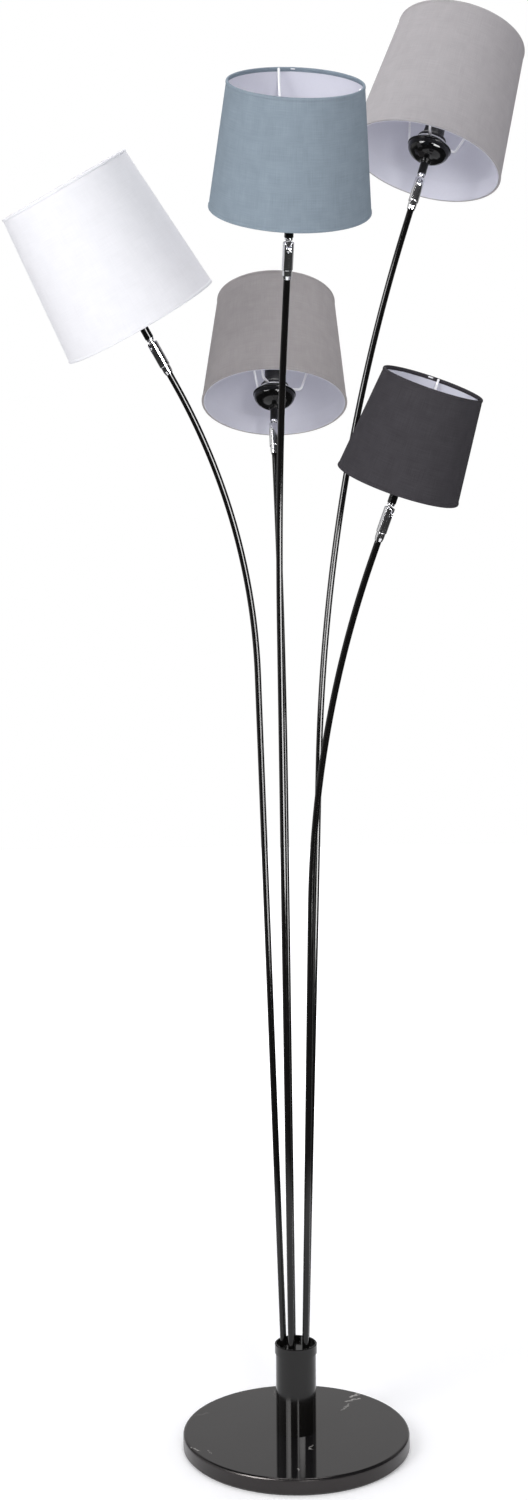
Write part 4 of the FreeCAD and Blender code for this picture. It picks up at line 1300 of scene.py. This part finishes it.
def make_ring(light):
    """The ring's section, with its outer radius waved around the axis by the ribs' cosine."""
    place = head_place(light)
    _, low = fitter_levels(light)
    section = rounded([
        (RING_BORE, low + 0.05, 0.3), (RING_RADIUS, low + 0.05, 0.6),
        (RING_RADIUS, low + 4.2, 0.6), (17.6, low + RING_HEIGHT, 0.6),
        (RING_BORE, low + RING_HEIGHT, 0.4)])
    angles = np.linspace(0, 2 * math.pi, RING_RIBS * 8, endpoint=False)
    points = ring_points(section, angles)
    reach = np.clip((section[:, 0] - RIB_FOOT) / (RING_RADIUS - RIB_FOOT), 0, 1)
    ribs = 0.5 - 0.5 * np.cos(RING_RIBS * angles)
    wave = 1 - RIB_DEPTH / RING_RADIUS * reach[None, :] * ribs[:, None]
    points[..., :2] *= wave[..., None]
    ring = surface(f"grip_ring_{light}", placed(points, place))
    return dress(ring, RING, f"head_{light}", "black_plastic", f"shade_ring_{light}")


for light in LIGHTS:
    ring = make_ring(light)
print("rings:", len(ring.data.polygons), "faces each")

# %% [markdown]
# ## The slotted swivel
# The sleeve is the lamp's finest piece. Its wall is two grids, one outside and one inside,
# over the same heights. Above the ball's centre the wall leaves a slot: the first column of the
# grid starts at the slot's edge, whose angle is asin(half width / radius), and below the centre
# the half width closes in as a half circle, until the grid's first and last columns meet.

# %% Swivel
SLEEVE = {
    # radii, then heights above and below the ball's centre
    "outer": 6.7, "bore": 5.8, "mouth": 4.6, "lip": 4.95,
    "top": 8.5, "low": -24.5, "edge": 1.0, "foot": 0.9, "lip_top": -22.2,
}
SLOT_HALF = 3.6
SLEEVE_COLUMNS = 96
SLEEVE_BEVEL = 0.12


def sleeve_heights():
    """Heights of the rows: close together where the slot's end closes and at both edges."""
    low, top = SLEEVE["low"], SLEEVE["top"]
    edge_low = low + SLEEVE["foot"] * (1 - np.cos(np.linspace(0, math.pi / 2, 6)))
    closing = -SLOT_HALF * np.cos(np.linspace(0, math.pi / 2, 18))
    upper = np.array([0.6, 1.2, 1.8, 2.4, 3.0, 3.6, 5.2, 6.8])
    edge_top = top - SLEEVE["edge"] * np.cos(np.linspace(0, math.pi / 2, 6))
    middle = np.array([-23.2, -22.3, -22.0, -18.0, -12.0, -7.0, -4.2])
    return np.concatenate([edge_low, middle, closing, upper, edge_top])


def slot_width(height):
    """Half the slot's width at a height: full above 0 and a half circle below it."""
    below = np.sqrt(np.clip(SLOT_HALF**2 - np.minimum(height, 0) ** 2, 0, None))
    return np.where(height >= 0, SLOT_HALF, below)


def outer_radius(height):
    """The sleeve's outside: straight, with a rounded foot and a rounded top edge."""
    foot = np.clip((SLEEVE["low"] + SLEEVE["foot"] - height) / SLEEVE["foot"], 0, 1)
    edge = np.clip((height - SLEEVE["top"] + SLEEVE["edge"]) / SLEEVE["edge"], 0, 1)
    cut = SLEEVE["foot"] * (1 - np.sqrt(1 - foot**2)) + SLEEVE["edge"] * (1 - np.sqrt(1 - edge**2))
    return SLEEVE["outer"] - cut * 0.9


def inner_radius(height):
    """The bore, narrowed by the lip at the foot and by the seat and mouth above the ball."""
    seat_start = SLEEVE["bore"] * (math.sqrt(2) - 1)
    seat = np.clip(height - seat_start, 0, SLEEVE["bore"] - SLEEVE["mouth"])
    lip = np.where(height < SLEEVE["lip_top"], SLEEVE["bore"] - SLEEVE["lip"], 0)
    return SLEEVE["bore"] - seat - lip


def sleeve_wall(heights, radius):
    """Grid (columns, rows, 3) of one wall, from one edge of the slot round to the other."""
    start = np.arcsin(np.clip(slot_width(heights) / radius, 0, 1))
    share = np.linspace(0, 1, SLEEVE_COLUMNS)[:, None]
    angle = start + share * (2 * math.pi - 2 * start)
    height = np.broadcast_to(heights, angle.shape)
    return np.stack([np.cos(angle) * radius, np.sin(angle) * radius, height], axis=-1)


def make_swivel(light):
    """Both walls, the rings that join them at the foot and the top, and the slot's sides."""
    heights = sleeve_heights()
    rows = len(heights)
    walls = [sleeve_wall(heights, radius(heights)) for radius in (outer_radius, inner_radius)]
    vertices = placed(np.concatenate([wall.reshape(-1, 3) for wall in walls]), sleeve_place(light))
    inner = SLEEVE_COLUMNS * rows
    wall, _, _ = grid_faces(SLEEVE_COLUMNS, rows, False, False)
    column = np.arange(SLEEVE_COLUMNS - 1) * rows
    foot = np.stack([column, column + inner, column + rows + inner, column + rows], axis=-1)
    top = (foot + rows - 1)[:, ::-1]
    open_rows = np.nonzero(slot_width(heights) > 1e-6)[0]
    row = np.arange(open_rows[0] - 1, rows - 1)
    side = np.stack([row, row + 1, row + 1 + inner, row + inner], axis=-1)
    last = (SLEEVE_COLUMNS - 1) * rows
    faces = np.concatenate([
        wall[:, ::-1], wall + inner, foot, top, side, (side + last)[:, ::-1]])
    sleeve = merged(mesh_object(f"sleeve_{light}", vertices, faces, sharp=0), outwards=True)
    sleeve.data.polygons.foreach_set("use_smooth", np.ones(len(sleeve.data.polygons), bool))
    sleeve.data.set_sharp_from_angle(angle=math.radians(35))
    bevel = sleeve.modifiers.new("edge", "BEVEL")
    bevel.width = SLEEVE_BEVEL * MM
    bevel.segments = 2
    bevel.limit_method = "ANGLE"
    bevel.angle_limit = math.radians(50)
    return dress(sleeve, CHROME, f"swivel_{light}", "chrome", f"swivel_{light}")


for light in LIGHTS:
    sleeve = make_swivel(light)
print("sleeves:", len(sleeve.data.polygons), "faces each")

# %% [markdown]
# ## Ball, neck and collar
# One turned piece: a ball that is flattened below, where the leads enter, a short neck that
# passes the slot, and a collar with two small grooves on which the cup stands.

# %% Ball
BALL = 5.7
FLAT_ANGLE, NECK_ANGLE = -53.13, 55.85


def ball_section(top):
    """Outline of the ball's lower flat, its sphere as an arc, neck, collar and stem."""
    turn = np.radians(np.linspace(FLAT_ANGLE, NECK_ANGLE, 34))
    sphere = np.column_stack([BALL * np.cos(turn), BALL * np.sin(turn)])
    rest = rounded([
        (3.2, 5.2, 0), (3.2, 10.5, 0.4), (4.8, 11.6, 0.4), (4.8, 12.5, 0.1), (4.5, 12.7, 0.1),
        (4.5, 12.9, 0.1), (4.8, 13.1, 0.1), (4.8, 14.5, 0.3), (4.0, 14.5, 0.1), (4.0, top, 0.3),
        (2.0, top, 0.2), (2.0, -4.56, 0)], closed=False)
    return np.vstack([sphere, rest])


for light in LIGHTS:
    points = local_vertices(f"ball_{light}", head_place(light))
    ball = turned(f"ball_turned_{light}", ball_section(points[:, 2].max()), head_place(light), 64)
    dress(ball, CHROME, f"head_{light}", "chrome", f"ball_{light}")
print("balls:", len(ball.data.polygons), "faces each")
